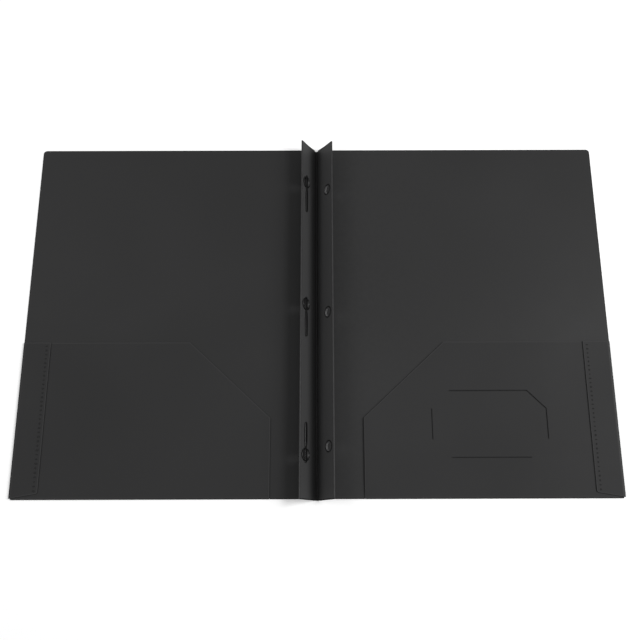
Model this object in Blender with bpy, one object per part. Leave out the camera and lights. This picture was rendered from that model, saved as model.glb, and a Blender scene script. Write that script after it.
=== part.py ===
"""A plastic pocket folder lying open: two covers, two pockets, a spine gusset of two fins and three prong fasteners.

The folder is one die-cut sheet. Each panel between two creases is its own solid here, and so is each fold of the
gusset that the sheet makes at its ridges and its valley. +X is to the right of the open folder, +Y along the spine
to its far end, +Z up. The origin is under the middle of the open folder, on the surface that it lies on. Lengths
are in metres.
"""

import math

import bmesh
import bpy
from mathutils import Vector

MM = 0.001

# The sheet and the gaps between its layers
SHEET = 0.5 * MM
SEAM = 0.3 * MM
POCKET_SPACE = 0.4 * MM
FLAP_SPACE = 0.4 * MM
CREASE_SPACE = 0.4 * MM

# The covers
COVER_LENGTH = 298.5 * MM
OPEN_WIDTH = 476.2 * MM
CORNER_RADIUS = 3.0 * MM

# The pockets, measured from the near edge and from the middle of the spine
POCKET_HEIGHT = 125.0 * MM
POCKET_MARGIN = 37.0 * MM
POCKET_SLANT_START = 63.0 * MM
POCKET_SLANT_END = 103.0 * MM
POCKET_CORNER_RADIUS = 1.5 * MM

# The side flaps, folded in from the covers' outer edges and spot-welded to the pockets
FLAP_WIDTH = 22.2 * MM
FLAP_MITRE_INNER = 4.6 * MM
FLAP_MITRE_OUTER = 1.0 * MM
FLAP_CORNER_RADIUS = 2.0 * MM
WELD_COUNT = 34
WELD_DIAMETER = 1.2 * MM
WELD_DEPTH = 0.2 * MM
WELD_INSET = 3.2 * MM
WELD_END_MARGIN = 4.0 * MM

# The slits that hold a card on the right pocket: an octagon whose cut sides are the five that the photograph shows
CARD_WIDTH = 91.0 * MM
CARD_HEIGHT = 53.0 * MM
CARD_CORNER = 14.5 * MM
CARD_CENTRE_FROM_SPINE = 136.5 * MM
CARD_CENTRE_FROM_NEAR_EDGE = 58.0 * MM
SLIT_WIDTH = 0.4 * MM

# The spine gusset. A fin's slant is measured from the valley's axis to the ridge, and its lean from upright.
FIN_SLANT = 22.2 * MM
FIN_LEAN = math.radians(33.0)
FIN_OVERHANG = 1.2 * MM
FIN_WALL_SPACE = 0.4 * MM
VALLEY_RADIUS = 0.8 * MM

# The holes and fasteners. HOLE_SPACING is that of three-hole punched paper, and HOLE_HEIGHT is up the fin's slant.
HOLE_SPACING = 107.95 * MM
HOLE_HEIGHT = 15.2 * MM
MIDDLE_HOLE_FROM_NEAR_EDGE = 147.0 * MM
PRONG_HOLE_DIAMETER = 8.0 * MM
EYELET_FLANGE_DIAMETER = 10.0 * MM
EYELET_FLANGE_THICKNESS = 0.6 * MM
EYELET_TUBE_DIAMETER = 9.0 * MM
EYELET_BORE = 7.6 * MM
EYELET_BAR_WIDTH = 2.6 * MM
EYELET_BAR_THICKNESS = 0.5 * MM
EYELET_STUB = 3.5 * MM
BEND_FROM_FLANGE = 1.5 * MM
PRONG_LENGTH = 20.5 * MM
PRONG_WIDTH = 3.2 * MM
PRONG_TIP_WIDTH = 2.6 * MM
PRONG_THICKNESS = 0.8 * MM

# The black of each plastic, as linear red, green and blue, and how rough it is
SHEET_BLACK = (0.030, 0.030, 0.031)
POCKET_BLACK = (0.034, 0.034, 0.035)
FASTENER_BLACK = (0.016, 0.016, 0.017)
COVER_ROUGHNESS = 0.42
POCKET_ROUGHNESS = 0.40
FIN_ROUGHNESS = 0.38
FASTENER_ROUGHNESS = 0.35

# How finely curves are cut into flats, how far a cutter reaches past what it cuts, and how large an empty is drawn
FOLD_STEPS = 8
CORNER_STEPS = 6
HOLE_SIDES = 28
WELD_SIDES = 6
WIDE = 20 * MM
PIVOT_SIZE = 10 * MM

# Values that follow from the ones above
LEFT, RIGHT = -1, 1
NEAR_EDGE = -(COVER_LENGTH - FIN_OVERHANG) / 2
FAR_EDGE = NEAR_EDGE + COVER_LENGTH
FIN_NEAR_EDGE = NEAR_EDGE - FIN_OVERHANG
OUTER_EDGE = OPEN_WIDTH / 2
POCKET_FOLD_RADIUS = SHEET + POCKET_SPACE / 2
FLAP_FOLD_RADIUS = (3 * SHEET + POCKET_SPACE + FLAP_SPACE) / 2
POCKET_TOP = NEAR_EDGE + POCKET_HEIGHT
FLAP_FOLD_EDGE = OUTER_EDGE - FLAP_FOLD_RADIUS
FLAP_INNER_EDGE = OUTER_EDGE - FLAP_WIDTH
RIDGE_RADIUS = SHEET + FIN_WALL_SPACE / 2
CREASE_RADIUS = CREASE_SPACE / 2
INNER_WALL = (VALLEY_RADIUS, VALLEY_RADIUS + SHEET)
OUTER_WALL = (INNER_WALL[1] + FIN_WALL_SPACE, INNER_WALL[1] + FIN_WALL_SPACE + SHEET)
VALLEY_HEIGHT = INNER_WALL[1]
# The base crease's axis lies a crease radius off the fin's outer face and off the cover's top.
BASE_OUT = OUTER_WALL[1] + CREASE_RADIUS
BASE_HEIGHT = SHEET + CREASE_RADIUS
BASE_UP = (BASE_HEIGHT - VALLEY_HEIGHT + BASE_OUT * math.sin(FIN_LEAN)) / math.cos(FIN_LEAN)
BASE_X = BASE_UP * math.sin(FIN_LEAN) + BASE_OUT * math.cos(FIN_LEAN)
WALL_TOP = FIN_SLANT - RIDGE_RADIUS
PRONG_LIFT = VALLEY_RADIUS - SEAM
PRONG_AXIS_OUT = PRONG_LIFT - PRONG_THICKNESS / 2
EYELET_OFFSET = EYELET_FLANGE_DIAMETER / 2 + BEND_FROM_FLANGE
BAR_REACH = EYELET_OFFSET - PRONG_THICKNESS / 2 - SEAM
EYELET_HOLE_DIAMETER = EYELET_TUBE_DIAMETER + 2 * SEAM
MIDDLE_HOLE = NEAR_EDGE + MIDDLE_HOLE_FROM_NEAR_EDGE

# Each prong's name, its bend's place along the spine, and the side of its bend that the eyelet is on
PRONGS = (
    ("far", MIDDLE_HOLE + HOLE_SPACING, 1),
    ("middle", MIDDLE_HOLE, 1),
    ("near", MIDDLE_HOLE - HOLE_SPACING, -1),
)


def plastic(name, colour, roughness):
    """The material of one piece: black polypropylene."""
    material = bpy.data.materials.new(name)
    material.use_nodes = True
    shader = material.node_tree.nodes["Principled BSDF"]
    shader.inputs["Base Color"].default_value = (*colour, 1.0)
    shader.inputs["Roughness"].default_value = roughness
    shader.inputs["Metallic"].default_value = 0.0
    return material


def arc(centre, radius, start, end, steps):
    """Points along an arc from one angle in degrees to another."""
    points = []
    for i in range(steps + 1):
        angle = math.radians(start + (end - start) * i / steps)
        points.append((centre[0] + radius * math.cos(angle), centre[1] + radius * math.sin(angle)))
    return points


def circle(centre, radius, sides):
    """Points round a circle, the first one not repeated."""
    return arc(centre, radius, 0, 360 - 360 / sides, sides - 1)


def rounded(corners):
    """The outline through corners, each (x, y, radius), with an arc in each corner that has a radius."""
    outline = []
    for i, (x, y, radius) in enumerate(corners):
        corner = Vector((x, y))
        if not radius:
            outline.append((x, y))
            continue
        before = (Vector(corners[i - 1][:2]) - corner).normalized()
        after = (Vector(corners[(i + 1) % len(corners)][:2]) - corner).normalized()
        half = before.angle(after) / 2
        centre = corner + (before + after).normalized() * radius / math.sin(half)
        start = corner + before * radius / math.tan(half) - centre
        end = corner + after * radius / math.tan(half) - centre
        turn = start.angle_signed(end)
        for step in range(CORNER_STEPS + 1):
            angle = -turn * step / CORNER_STEPS
            spoke = Vector((
                start.x * math.cos(angle) - start.y * math.sin(angle),
                start.x * math.sin(angle) + start.y * math.cos(angle),
            ))
            outline.append(tuple(centre + spoke))
    return outline


def band(path, width):
    """The outline of a strip of one width along a path."""
    sides = ([], [])
    for i, point in enumerate(path):
        here = Vector(point)
        into = (here - Vector(path[i - 1])).normalized() if i else None
        out = (Vector(path[i + 1]) - here).normalized() if i + 1 < len(path) else None
        along = ((into or out) + (out or into)).normalized()
        across = Vector((-along.y, along.x))
        reach = width / 2 / across.dot(Vector((-(out or into).y, (out or into).x)))
        sides[0].append(tuple(here + across * reach))
        sides[1].append(tuple(here - across * reach))
    return sides[0] + sides[1][::-1]


def prisms(name, pairs, material=None):
    """One object of separate prisms, each between a pair of rings of matching points in space."""
    mesh = bpy.data.meshes.new(name)
    shape = bmesh.new()
    for pair in pairs:
        low, high = ([shape.verts.new(point) for point in ring] for ring in pair)
        shape.faces.new(low)
        shape.faces.new(high)
        for i in range(len(low)):
            shape.faces.new((low[i - 1], low[i], high[i], high[i - 1]))
    bmesh.ops.recalc_face_normals(shape, faces=shape.faces)
    shape.to_mesh(mesh)
    shape.free()
    piece = bpy.data.objects.new(name, mesh)
    bpy.context.scene.collection.objects.link(piece)
    if material:
        mesh.materials.append(material)
    return piece


def along_spine(outline, near, far):
    """The rings of an outline in X and Z, drawn out along the spine."""
    return [[(x, y, z) for x, z in outline] for y in (near, far)]


def along_width(outline, side, inner, outer):
    """The rings of an outline in Y and Z, drawn out across one cover."""
    return [[(side * x, y, z) for y, z in outline] for x in (inner, outer)]


def upright(outline, side, low, high):
    """The rings of an outline seen from above, drawn out in height."""
    return [[(side * x, y, z) for x, y in outline] for z in (low, high)]


def fin_point(side, up, out, y):
    """A place on a fin: up its slant from the valley's axis, and out from that axis towards its cover."""
    x = up * math.sin(FIN_LEAN) + out * math.cos(FIN_LEAN)
    z = VALLEY_HEIGHT + up * math.cos(FIN_LEAN) - out * math.sin(FIN_LEAN)
    return (side * x, y, z)


def along_fin(outline, side, near, far):
    """The rings of an outline in up and out, drawn out along the spine."""
    return [[fin_point(side, up, out, y) for up, out in outline] for y in (near, far)]


def through_fin(outline, side, start, end):
    """The rings of an outline in up and Y, drawn out through a fin."""
    return [[fin_point(side, up, out, y) for up, y in outline] for out in (start, end)]


def shaped(piece, operation, pairs, label):
    """Cuts a piece with prisms, joins them to it or keeps what is in them. The prisms are left out of the model."""
    tool = prisms(f"{piece.name}_{label}", pairs)
    tool.hide_render = True
    tool.display_type = "WIRE"
    step = piece.modifiers.new(label, "BOOLEAN")
    step.operation = operation
    step.solver = "EXACT"
    step.object = tool


def hang(piece, place):
    """Puts a piece's origin on its joint's axis and leaves its shape where it is."""
    for vertex in piece.data.vertices:
        vertex.co -= Vector(place)
    piece.location = place


def cover(side, name, material):
    """A cover with its spine edge curled up to the fin, recessed where the pocket and the flap fold in."""
    centre = (BASE_X, BASE_HEIGHT)
    end = 180 - math.degrees(FIN_LEAN)
    outer = arc(centre, BASE_HEIGHT, 270, end, FOLD_STEPS)
    inner = arc(centre, CREASE_RADIUS, end, 270, FOLD_STEPS)
    section = [(OUTER_EDGE, 0.0), *outer, *inner, (OUTER_EDGE, SHEET)]
    rings = along_spine([(side * x, z) for x, z in section], NEAR_EDGE, FAR_EDGE)
    piece = prisms(name, [rings], material)
    recess = NEAR_EDGE + POCKET_FOLD_RADIUS + SEAM
    plan = rounded([
        (-WIDE, NEAR_EDGE - WIDE, 0),
        (POCKET_MARGIN - SEAM, NEAR_EDGE - WIDE, 0),
        (POCKET_MARGIN - SEAM, recess, 0),
        (FLAP_FOLD_EDGE - SEAM, recess, 0),
        (FLAP_FOLD_EDGE - SEAM, POCKET_TOP + SEAM, 0),
        (OUTER_EDGE, POCKET_TOP + SEAM, 0),
        (OUTER_EDGE, FAR_EDGE, CORNER_RADIUS),
        (-WIDE, FAR_EDGE, 0),
    ])
    shaped(piece, "INTERSECT", [upright(plan, side, -WIDE, WIDE)], "outline")
    return piece


def pocket(side, name, material):
    """A pocket front, folded up and over from the cover's near edge, with its slanted inner corner."""
    centre = (NEAR_EDGE + POCKET_FOLD_RADIUS, POCKET_FOLD_RADIUS)
    outer = arc(centre, POCKET_FOLD_RADIUS, 270, 90, FOLD_STEPS)
    inner = arc(centre, POCKET_SPACE / 2, 90, 270, FOLD_STEPS)
    top = 2 * POCKET_FOLD_RADIUS
    section = [*outer, (POCKET_TOP, top), (POCKET_TOP, top - SHEET), *inner]
    piece = prisms(name, [along_width(section, side, POCKET_MARGIN, FLAP_FOLD_EDGE - SEAM)], material)
    plan = rounded([
        (POCKET_MARGIN, NEAR_EDGE - WIDE, 0),
        (OUTER_EDGE + WIDE, NEAR_EDGE - WIDE, 0),
        (OUTER_EDGE + WIDE, POCKET_TOP, 0),
        (POCKET_SLANT_END, POCKET_TOP, POCKET_CORNER_RADIUS),
        (POCKET_MARGIN, NEAR_EDGE + POCKET_SLANT_START, POCKET_CORNER_RADIUS),
    ])
    shaped(piece, "INTERSECT", [upright(plan, side, -WIDE, WIDE)], "outline")
    return piece


def card_slits(piece, side):
    """Cuts the three runs of slits that a card's edges and corners slip under."""
    left = CARD_CENTRE_FROM_SPINE - CARD_WIDTH / 2
    right = CARD_CENTRE_FROM_SPINE + CARD_WIDTH / 2
    low = NEAR_EDGE + CARD_CENTRE_FROM_NEAR_EDGE - CARD_HEIGHT / 2
    high = low + CARD_HEIGHT
    runs = (
        [
            (left + CARD_CORNER, high),
            (right - CARD_CORNER, high),
            (right, high - CARD_CORNER),
            (right, low + CARD_CORNER),
        ],
        [(left, high - CARD_CORNER), (left, low + CARD_CORNER)],
        [(left + CARD_CORNER, low), (right - CARD_CORNER, low)],
    )
    cuts = [upright(band(run, SLIT_WIDTH), side, POCKET_SPACE, WIDE) for run in runs]
    shaped(piece, "DIFFERENCE", cuts, "slits")


def side_flap(side, name, material):
    """A flap folded in from the cover's outer edge over the pocket, with a line of weld dimples."""
    centre = (FLAP_FOLD_EDGE, FLAP_FOLD_RADIUS)
    outer = arc(centre, FLAP_FOLD_RADIUS, -90, 90, FOLD_STEPS)
    inner = arc(centre, FLAP_FOLD_RADIUS - SHEET, 90, -90, FOLD_STEPS)
    top = 2 * FLAP_FOLD_RADIUS
    section = [*outer, (FLAP_INNER_EDGE, top), (FLAP_INNER_EDGE, top - SHEET), *inner]
    rings = along_spine([(side * x, z) for x, z in section], NEAR_EDGE, POCKET_TOP)
    piece = prisms(name, [rings], material)
    plan = rounded([
        (FLAP_INNER_EDGE, NEAR_EDGE + FLAP_MITRE_INNER, FLAP_CORNER_RADIUS),
        (OUTER_EDGE, NEAR_EDGE + FLAP_MITRE_OUTER, 0),
        (OUTER_EDGE + WIDE, NEAR_EDGE + FLAP_MITRE_OUTER, 0),
        (OUTER_EDGE + WIDE, POCKET_TOP + WIDE, 0),
        (FLAP_INNER_EDGE, POCKET_TOP + WIDE, 0),
    ])
    shaped(piece, "INTERSECT", [upright(plan, side, -WIDE, WIDE)], "outline")
    weld_dimples(piece, side, top)
    return piece


def weld_dimples(piece, side, top):
    """Presses the line of spot welds into a flap's top."""
    x = FLAP_INNER_EDGE + WELD_INSET
    first = NEAR_EDGE + FLAP_MITRE_INNER + WELD_END_MARGIN / 2
    pitch = (POCKET_TOP - WELD_END_MARGIN - first) / (WELD_COUNT - 1)
    pins = []
    for number in range(WELD_COUNT):
        outline = circle((x, first + number * pitch), WELD_DIAMETER / 2, WELD_SIDES)
        pins.append(upright(outline, side, top - WELD_DEPTH, top + WIDE))
    shaped(piece, "DIFFERENCE", pins, "welds")


def fin_wall(side, foot, wall, name, material):
    """One of a fin's two flat walls, from its foot to just short of the ridge."""
    low, high = wall
    top = WALL_TOP - SEAM
    outline = [(foot, low), (top, low), (top, high), (foot, high)]
    return prisms(name, [along_fin(outline, side, FIN_NEAR_EDGE, FAR_EDGE)], material)


def fin_ridge(side, name, material):
    """The fold at a fin's top, where the sheet turns from one wall into the other."""
    middle = (WALL_TOP, (INNER_WALL[0] + OUTER_WALL[1]) / 2)
    outer = arc(middle, RIDGE_RADIUS, 90, -90, FOLD_STEPS)
    inner = arc(middle, RIDGE_RADIUS - SHEET, -90, 90, FOLD_STEPS)
    return prisms(name, [along_fin([*outer, *inner], side, FIN_NEAR_EDGE, FAR_EDGE)], material)


def valley_crease(name, material):
    """The fold between the two fins, at the foot of the valley."""
    gap = math.degrees(SEAM / (VALLEY_RADIUS + SHEET / 2))
    start = 180 + math.degrees(FIN_LEAN) + gap
    end = 360 - math.degrees(FIN_LEAN) - gap
    centre = (0.0, VALLEY_HEIGHT)
    outline = [
        *arc(centre, INNER_WALL[1], start, end, FOLD_STEPS),
        *arc(centre, INNER_WALL[0], end, start, FOLD_STEPS),
    ]
    return prisms(name, [along_spine(outline, FIN_NEAR_EDGE, FAR_EDGE)], material)


def punch(piece, side, diameter, offset):
    """Cuts three holes through a wall, each an offset from its prong's bend towards that prong's eyelet."""
    pins = []
    for _, bend, way in PRONGS:
        outline = circle((HOLE_HEIGHT, bend + way * offset), diameter / 2, HOLE_SIDES)
        pins.append(through_fin(outline, side, -WIDE, WIDE))
    shaped(piece, "DIFFERENCE", pins, "holes")


def fastener_base(name, bend, way, material):
    """An eyelet through the left fin, with the bar that crosses it from the prong's bend to the stub beyond."""
    y = bend + way * EYELET_OFFSET
    centre = (HOLE_HEIGHT, y)
    face = PRONG_LIFT - EYELET_FLANGE_THICKNESS
    flange = circle(centre, EYELET_FLANGE_DIAMETER / 2, HOLE_SIDES)
    piece = prisms(name, [through_fin(flange, LEFT, face, PRONG_LIFT)], material)
    tube = circle(centre, EYELET_TUBE_DIAMETER / 2, HOLE_SIDES)
    inside = PRONG_LIFT - EYELET_FLANGE_THICKNESS / 2
    shaped(piece, "UNION", [through_fin(tube, LEFT, inside, OUTER_WALL[1])], "tube")
    bore = circle(centre, EYELET_BORE / 2, HOLE_SIDES)
    shaped(piece, "DIFFERENCE", [through_fin(bore, LEFT, -WIDE, WIDE)], "bore")
    start, end = sorted((y - way * BAR_REACH, y + way * (EYELET_FLANGE_DIAMETER / 2 + EYELET_STUB)))
    low, high = HOLE_HEIGHT - EYELET_BAR_WIDTH / 2, HOLE_HEIGHT + EYELET_BAR_WIDTH / 2
    bar = [(low, start), (high, start), (high, end), (low, end)]
    bar_face = face + (EYELET_FLANGE_THICKNESS - EYELET_BAR_THICKNESS) / 2
    shaped(piece, "UNION", [through_fin(bar, LEFT, bar_face, bar_face + EYELET_BAR_THICKNESS)], "bar")
    return piece


def prong(name, bend, way, material):
    """A prong lying flat along the left fin, its origin on its bend."""
    half, tip = PRONG_WIDTH / 2, PRONG_TIP_WIDTH / 2
    end = bend - way * (PRONG_LENGTH - tip)
    round_tip = arc((HOLE_HEIGHT, end), tip, 0, -180 * way, FOLD_STEPS)
    outline = [(HOLE_HEIGHT + half, bend), *round_tip, (HOLE_HEIGHT - half, bend)]
    lift = PRONG_LIFT - PRONG_THICKNESS
    piece = prisms(name, [through_fin(outline, LEFT, lift, PRONG_LIFT)], material)
    hang(piece, fin_point(LEFT, HOLE_HEIGHT, PRONG_AXIS_OUT, bend))
    return piece


def clear_scene():
    """Removes whatever the scene holds."""
    for thing in list(bpy.data.objects):
        bpy.data.objects.remove(thing, do_unlink=True)


def pivot(name, place, pieces):
    """An empty on a joint's axis, with the pieces that turn about it."""
    empty = bpy.data.objects.new(name, None)
    empty.empty_display_size = PIVOT_SIZE
    empty.location = place
    bpy.context.scene.collection.objects.link(empty)
    bpy.context.view_layer.update()
    for piece in pieces:
        piece.parent = empty
        piece.matrix_parent_inverse = empty.matrix_world.inverted()
    return empty


def half(side, word):
    """One half of the open folder without its fin: the cover, the pocket and the side flap."""
    sheet = plastic(f"{word}_cover_plastic", SHEET_BLACK, COVER_ROUGHNESS)
    front = plastic(f"{word}_pocket_plastic", POCKET_BLACK, POCKET_ROUGHNESS)
    front_piece = pocket(side, f"{word}_pocket", front)
    if side == RIGHT:
        card_slits(front_piece, side)
    return [cover(side, f"{word}_cover", sheet), front_piece, side_flap(side, f"{word}_side_flap", front)]


def fin(side, word, diameter, offset):
    """One fin of the gusset: two walls with their holes, and the ridge between them."""
    material = plastic(f"{word}_fin_plastic", SHEET_BLACK, FIN_ROUGHNESS)
    inner = fin_wall(side, 0.0, INNER_WALL, f"{word}_fin_inner_wall", material)
    outer = fin_wall(side, BASE_UP + SEAM, OUTER_WALL, f"{word}_fin_outer_wall", material)
    for wall in (inner, outer):
        punch(wall, side, diameter, offset)
    return [inner, outer, fin_ridge(side, f"{word}_fin_ridge", material)]


def build():
    """Models the folder and hangs each fold and prong on its axis."""
    clear_scene()
    half(RIGHT, "right")
    left_half = half(LEFT, "left")
    right_fin = fin(RIGHT, "right", PRONG_HOLE_DIAMETER, 0.0)
    left_fin = fin(LEFT, "left", EYELET_HOLE_DIAMETER, EYELET_OFFSET)
    right_fin.append(valley_crease("valley_crease", plastic("valley_plastic", SHEET_BLACK, FIN_ROUGHNESS)))

    moulded = plastic("fastener_plastic", FASTENER_BLACK, FASTENER_ROUGHNESS)
    for label, bend, way in PRONGS:
        left_fin.append(fastener_base(f"fastener_base_{label}", bend, way, moulded))
        left_fin.append(prong(f"prong_{label}", bend, way, moulded))

    right_base = pivot("right_base_axis", (BASE_X, 0.0, BASE_HEIGHT), right_fin)
    valley = pivot("valley_axis", (0.0, 0.0, VALLEY_HEIGHT), left_fin)
    left_base = pivot("left_base_axis", (-BASE_X, 0.0, BASE_HEIGHT), left_half)
    for child, parent in ((valley, right_base), (left_base, valley)):
        child.parent = parent
        child.matrix_parent_inverse = parent.matrix_world.inverted()


build()
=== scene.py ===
"""The looks of a black polypropylene pocket folder that lies open.

The real folder is one die-cut sheet, so each panel starts here as it is cut, in the flat, with its holes and
slits, and a section then folds it into its place. Lengths are in metres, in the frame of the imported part:
+X to the right of the open folder, +Y along the spine to its far end, +Z up.
"""

import logging
import math
from collections.abc import Callable, Sequence
from dataclasses import dataclass, field, replace
from enum import Enum
from typing import Any

import bmesh
import bpy
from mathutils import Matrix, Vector


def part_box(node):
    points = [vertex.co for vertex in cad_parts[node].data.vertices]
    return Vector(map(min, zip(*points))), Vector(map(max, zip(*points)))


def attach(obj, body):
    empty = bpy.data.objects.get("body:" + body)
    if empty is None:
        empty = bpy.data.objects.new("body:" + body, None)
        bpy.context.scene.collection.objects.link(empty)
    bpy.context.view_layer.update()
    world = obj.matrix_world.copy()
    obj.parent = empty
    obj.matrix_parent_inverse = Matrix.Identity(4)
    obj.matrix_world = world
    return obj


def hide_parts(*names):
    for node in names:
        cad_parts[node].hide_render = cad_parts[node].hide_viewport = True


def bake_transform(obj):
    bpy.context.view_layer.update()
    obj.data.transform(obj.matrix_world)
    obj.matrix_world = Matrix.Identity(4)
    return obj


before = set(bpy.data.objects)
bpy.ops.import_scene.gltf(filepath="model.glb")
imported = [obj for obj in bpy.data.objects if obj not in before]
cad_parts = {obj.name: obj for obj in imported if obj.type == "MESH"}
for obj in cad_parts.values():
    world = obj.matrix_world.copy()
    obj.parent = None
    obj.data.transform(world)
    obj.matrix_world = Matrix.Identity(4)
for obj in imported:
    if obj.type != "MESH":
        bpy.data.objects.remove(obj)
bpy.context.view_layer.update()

MM = 0.001
LOG = logging.getLogger("folder")

TOUCH = 1e-6  # metres between two places that count as one
TOUCH_FLAT = 1e-3  # the same in the flat, in millimetres
CUT_SNAP = 1e-4  # how near a grid line a point of the flat counts as on it, in millimetres
HOLE_SLACK = 0.01 * MM  # what a vertex may lie past the band of the hole that it is on
FOLD_REACH = 1.2 * MM  # how far beside a fold the sheet is worked too
FOLD_CUTS = (0.6 * MM, 1.3 * MM)  # where the mesh is cut beside a fold
MITRE_LIMIT = 0.4  # keeps a mitre at a very sharp corner short
SHARP_SHEET = math.radians(50)  # edges of the sheet that turn by more are left sharp
SHARP_EYELET = math.radians(42)  # and those of an eyelet
SHARP_PRONG = math.radians(60)  # and those of a prong

Point = tuple[float, float]
Station = tuple[float, float, float, float]
Colour = tuple[float, float, float]
Socket = bpy.types.NodeSocket


class Side(Enum):
    """The side of the spine that a piece is on, as the sign of X there."""

    LEFT = -1
    RIGHT = 1

    def part(self, name: str) -> str:
        """The name of this side's part, as the nodes spell it."""
        return f"{self.name.lower()}_{name}"


class Slot(Enum):
    """The record's material slots."""

    COVER = "cover_plastic"
    POCKET = "pocket_plastic"
    FIN = "fin_plastic"
    FASTENER = "fastener_plastic"


@dataclass(frozen=True)
class Gauge:
    """The sizes that the panels share: outlines from the frame, and the rest as the part names them."""

    sheet: float = 0.5 * MM
    seam: float = 0.3 * MM
    corner_radius: float = 3.0 * MM
    near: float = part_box("right_cover")[0].y
    far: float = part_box("right_cover")[1].y
    outer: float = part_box("right_cover")[1].x
    fin_near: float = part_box("right_fin_inner_wall")[0].y
    pocket_margin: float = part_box("right_pocket")[0].x
    pocket_top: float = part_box("right_pocket")[1].y
    pocket_face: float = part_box("right_pocket")[1].z
    flap_inner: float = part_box("right_side_flap")[0].x
    flap_face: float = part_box("right_side_flap")[1].z
    pocket_slant_start: float = 63.0 * MM
    pocket_slant_end: float = 103.0 * MM
    pocket_corner_radius: float = 1.5 * MM
    flap_mitre_inner: float = 4.6 * MM
    flap_mitre_outer: float = 1.0 * MM
    flap_corner_radius: float = 2.0 * MM
    fin_slant: float = 22.2 * MM
    fin_lean: float = math.radians(33.0)
    fin_wall_space: float = 0.4 * MM
    crease_space: float = 0.4 * MM
    valley_radius: float = 0.8 * MM

    @property
    def pocket_fold(self) -> float:
        """The outer radius of the fold at the near edge."""
        return self.pocket_face / 2

    @property
    def flap_fold(self) -> float:
        """The outer radius of the fold at the outer edge."""
        return self.flap_face / 2

    @property
    def flap_fold_edge(self) -> float:
        """Where the cover starts to turn up into its side flap."""
        return self.outer - self.flap_fold

    @property
    def valley_height(self) -> float:
        """The height of the valley fold's axis."""
        return self.valley_radius + self.sheet

    @property
    def inner_wall(self) -> float:
        """How far out from the valley's axis the middle of a fin's inner wall lies."""
        return self.valley_radius + self.sheet / 2

    @property
    def outer_wall(self) -> float:
        """How far out from the valley's axis the middle of a fin's outer wall lies."""
        return self.inner_wall + self.sheet + self.fin_wall_space

    @property
    def ridge_radius(self) -> float:
        """The radius of a ridge fold at the sheet's middle."""
        return (self.sheet + self.fin_wall_space) / 2

    @property
    def base_radius(self) -> float:
        """The radius of a base crease at the sheet's middle."""
        return (self.sheet + self.crease_space) / 2

    @property
    def base_height(self) -> float:
        """The height of a base crease's axis."""
        return self.sheet + self.crease_space / 2

    @property
    def base_up(self) -> float:
        """How far up a fin's slant the axis of its base crease lies."""
        rise = self.base_height - self.valley_height + self.base_out * math.sin(self.fin_lean)
        return rise / math.cos(self.fin_lean)

    @property
    def base_out(self) -> float:
        """How far out from the valley's axis the axis of the base crease lies."""
        return self.outer_wall + self.base_radius

    @property
    def base_x(self) -> float:
        """The distance of a base crease's axis from the spine's middle."""
        return self.base_up * math.sin(self.fin_lean) + self.base_out * math.cos(self.fin_lean)

    @property
    def wall_top(self) -> float:
        """How far up the slant the straight of a fin's walls ends."""
        return self.fin_slant - self.ridge_radius - self.sheet / 2


GAUGE = Gauge()


@dataclass(frozen=True)
class Wave:
    """The slight waves that keep the sheet from lying dead flat. All layers of a half share them.

    Attributes:
        height: Their middle height.
        length: The length of the swell along the spine.
        width: The length of the ripple across the cover.
        swell: The swell's share of the height.
        ripple: The ripple's share of it.
        swell_shift: How far the swell is shifted, the other way on each half, in radians.
        ripple_shift: The same for the ripple.
        ripple_slant: How far the ripple shifts over the length of a swell, in radians.
        flat_by_spine: How far from the spine's middle the sheet stays flat.
        flat_by_edge: How far from the outer edge it does.
        flat_by_near: How far from the near edge it does.
        far_rise: The share of the rise that is left at the far edge, before it is smoothed.
        fade: How far from there the waves reach their height.
    """

    height: float = 0.20 * MM
    length: float = 170 * MM
    width: float = 130 * MM
    swell: float = 0.6
    ripple: float = 0.4
    swell_shift: float = 0.9
    ripple_shift: float = 0.8
    ripple_slant: float = 2.0
    flat_by_spine: float = 34 * MM
    flat_by_edge: float = 26 * MM
    flat_by_near: float = 4 * MM
    far_rise: float = 0.1
    fade: float = 40 * MM

    def at(self, side: Side, x: float, y: float) -> float:
        """The rise of the sheet at a place.

        Args:
            side: The half of the folder.
            x: The distance from the spine's middle.
            y: The place along the spine.

        Returns:
            The rise, 0 by the spine and by the outer edge.
        """
        swell = math.sin(math.tau * y / self.length + self.swell_shift * side.value)
        slant = self.ripple_slant * y / self.length
        ripple = math.sin(math.tau * x / self.width + self.ripple_shift * side.value + slant)
        inner = ease((x - self.flat_by_spine) / self.fade)
        outer = ease((GAUGE.outer - self.flat_by_edge - x) / self.fade)
        near = ease((y - GAUGE.near - self.flat_by_near) / self.fade)
        far = ease((GAUGE.far - y) / self.fade * (1 - self.far_rise) + self.far_rise)
        return self.height * (1 + self.swell * swell + self.ripple * ripple) * inner * outer * (near * far)


@dataclass(frozen=True)
class FinBend:
    """How far the soft fins stand off their straight lean, at the ridge, at their far and near ends."""

    left_far: float = -1.0 * MM
    left_near: float = 0.3 * MM
    right_far: float = -0.1 * MM
    right_near: float = 0.0

    def at(self, side: Side, up: float, y: float) -> float:
        """The level shift away from the valley at a place on a fin.

        Args:
            side: The fin's side.
            up: The distance up the fin's slant.
            y: The place along the spine.

        Returns:
            The shift out from the valley.
        """
        share = (y - GAUGE.fin_near) / (GAUGE.far - GAUGE.fin_near)
        left = side is Side.LEFT
        near = self.left_near if left else self.right_near
        far = self.left_far if left else self.right_far
        return (near + (far - near) * share) * (max(up, 0.0) / GAUGE.fin_slant) ** 2


WAVE = Wave()
FIN_BEND = FinBend()


def ease(share: float) -> float:
    """A smooth step from 0 to 1."""
    share = min(max(share, 0.0), 1.0)
    return share * share * (3 - 2 * share)


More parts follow.
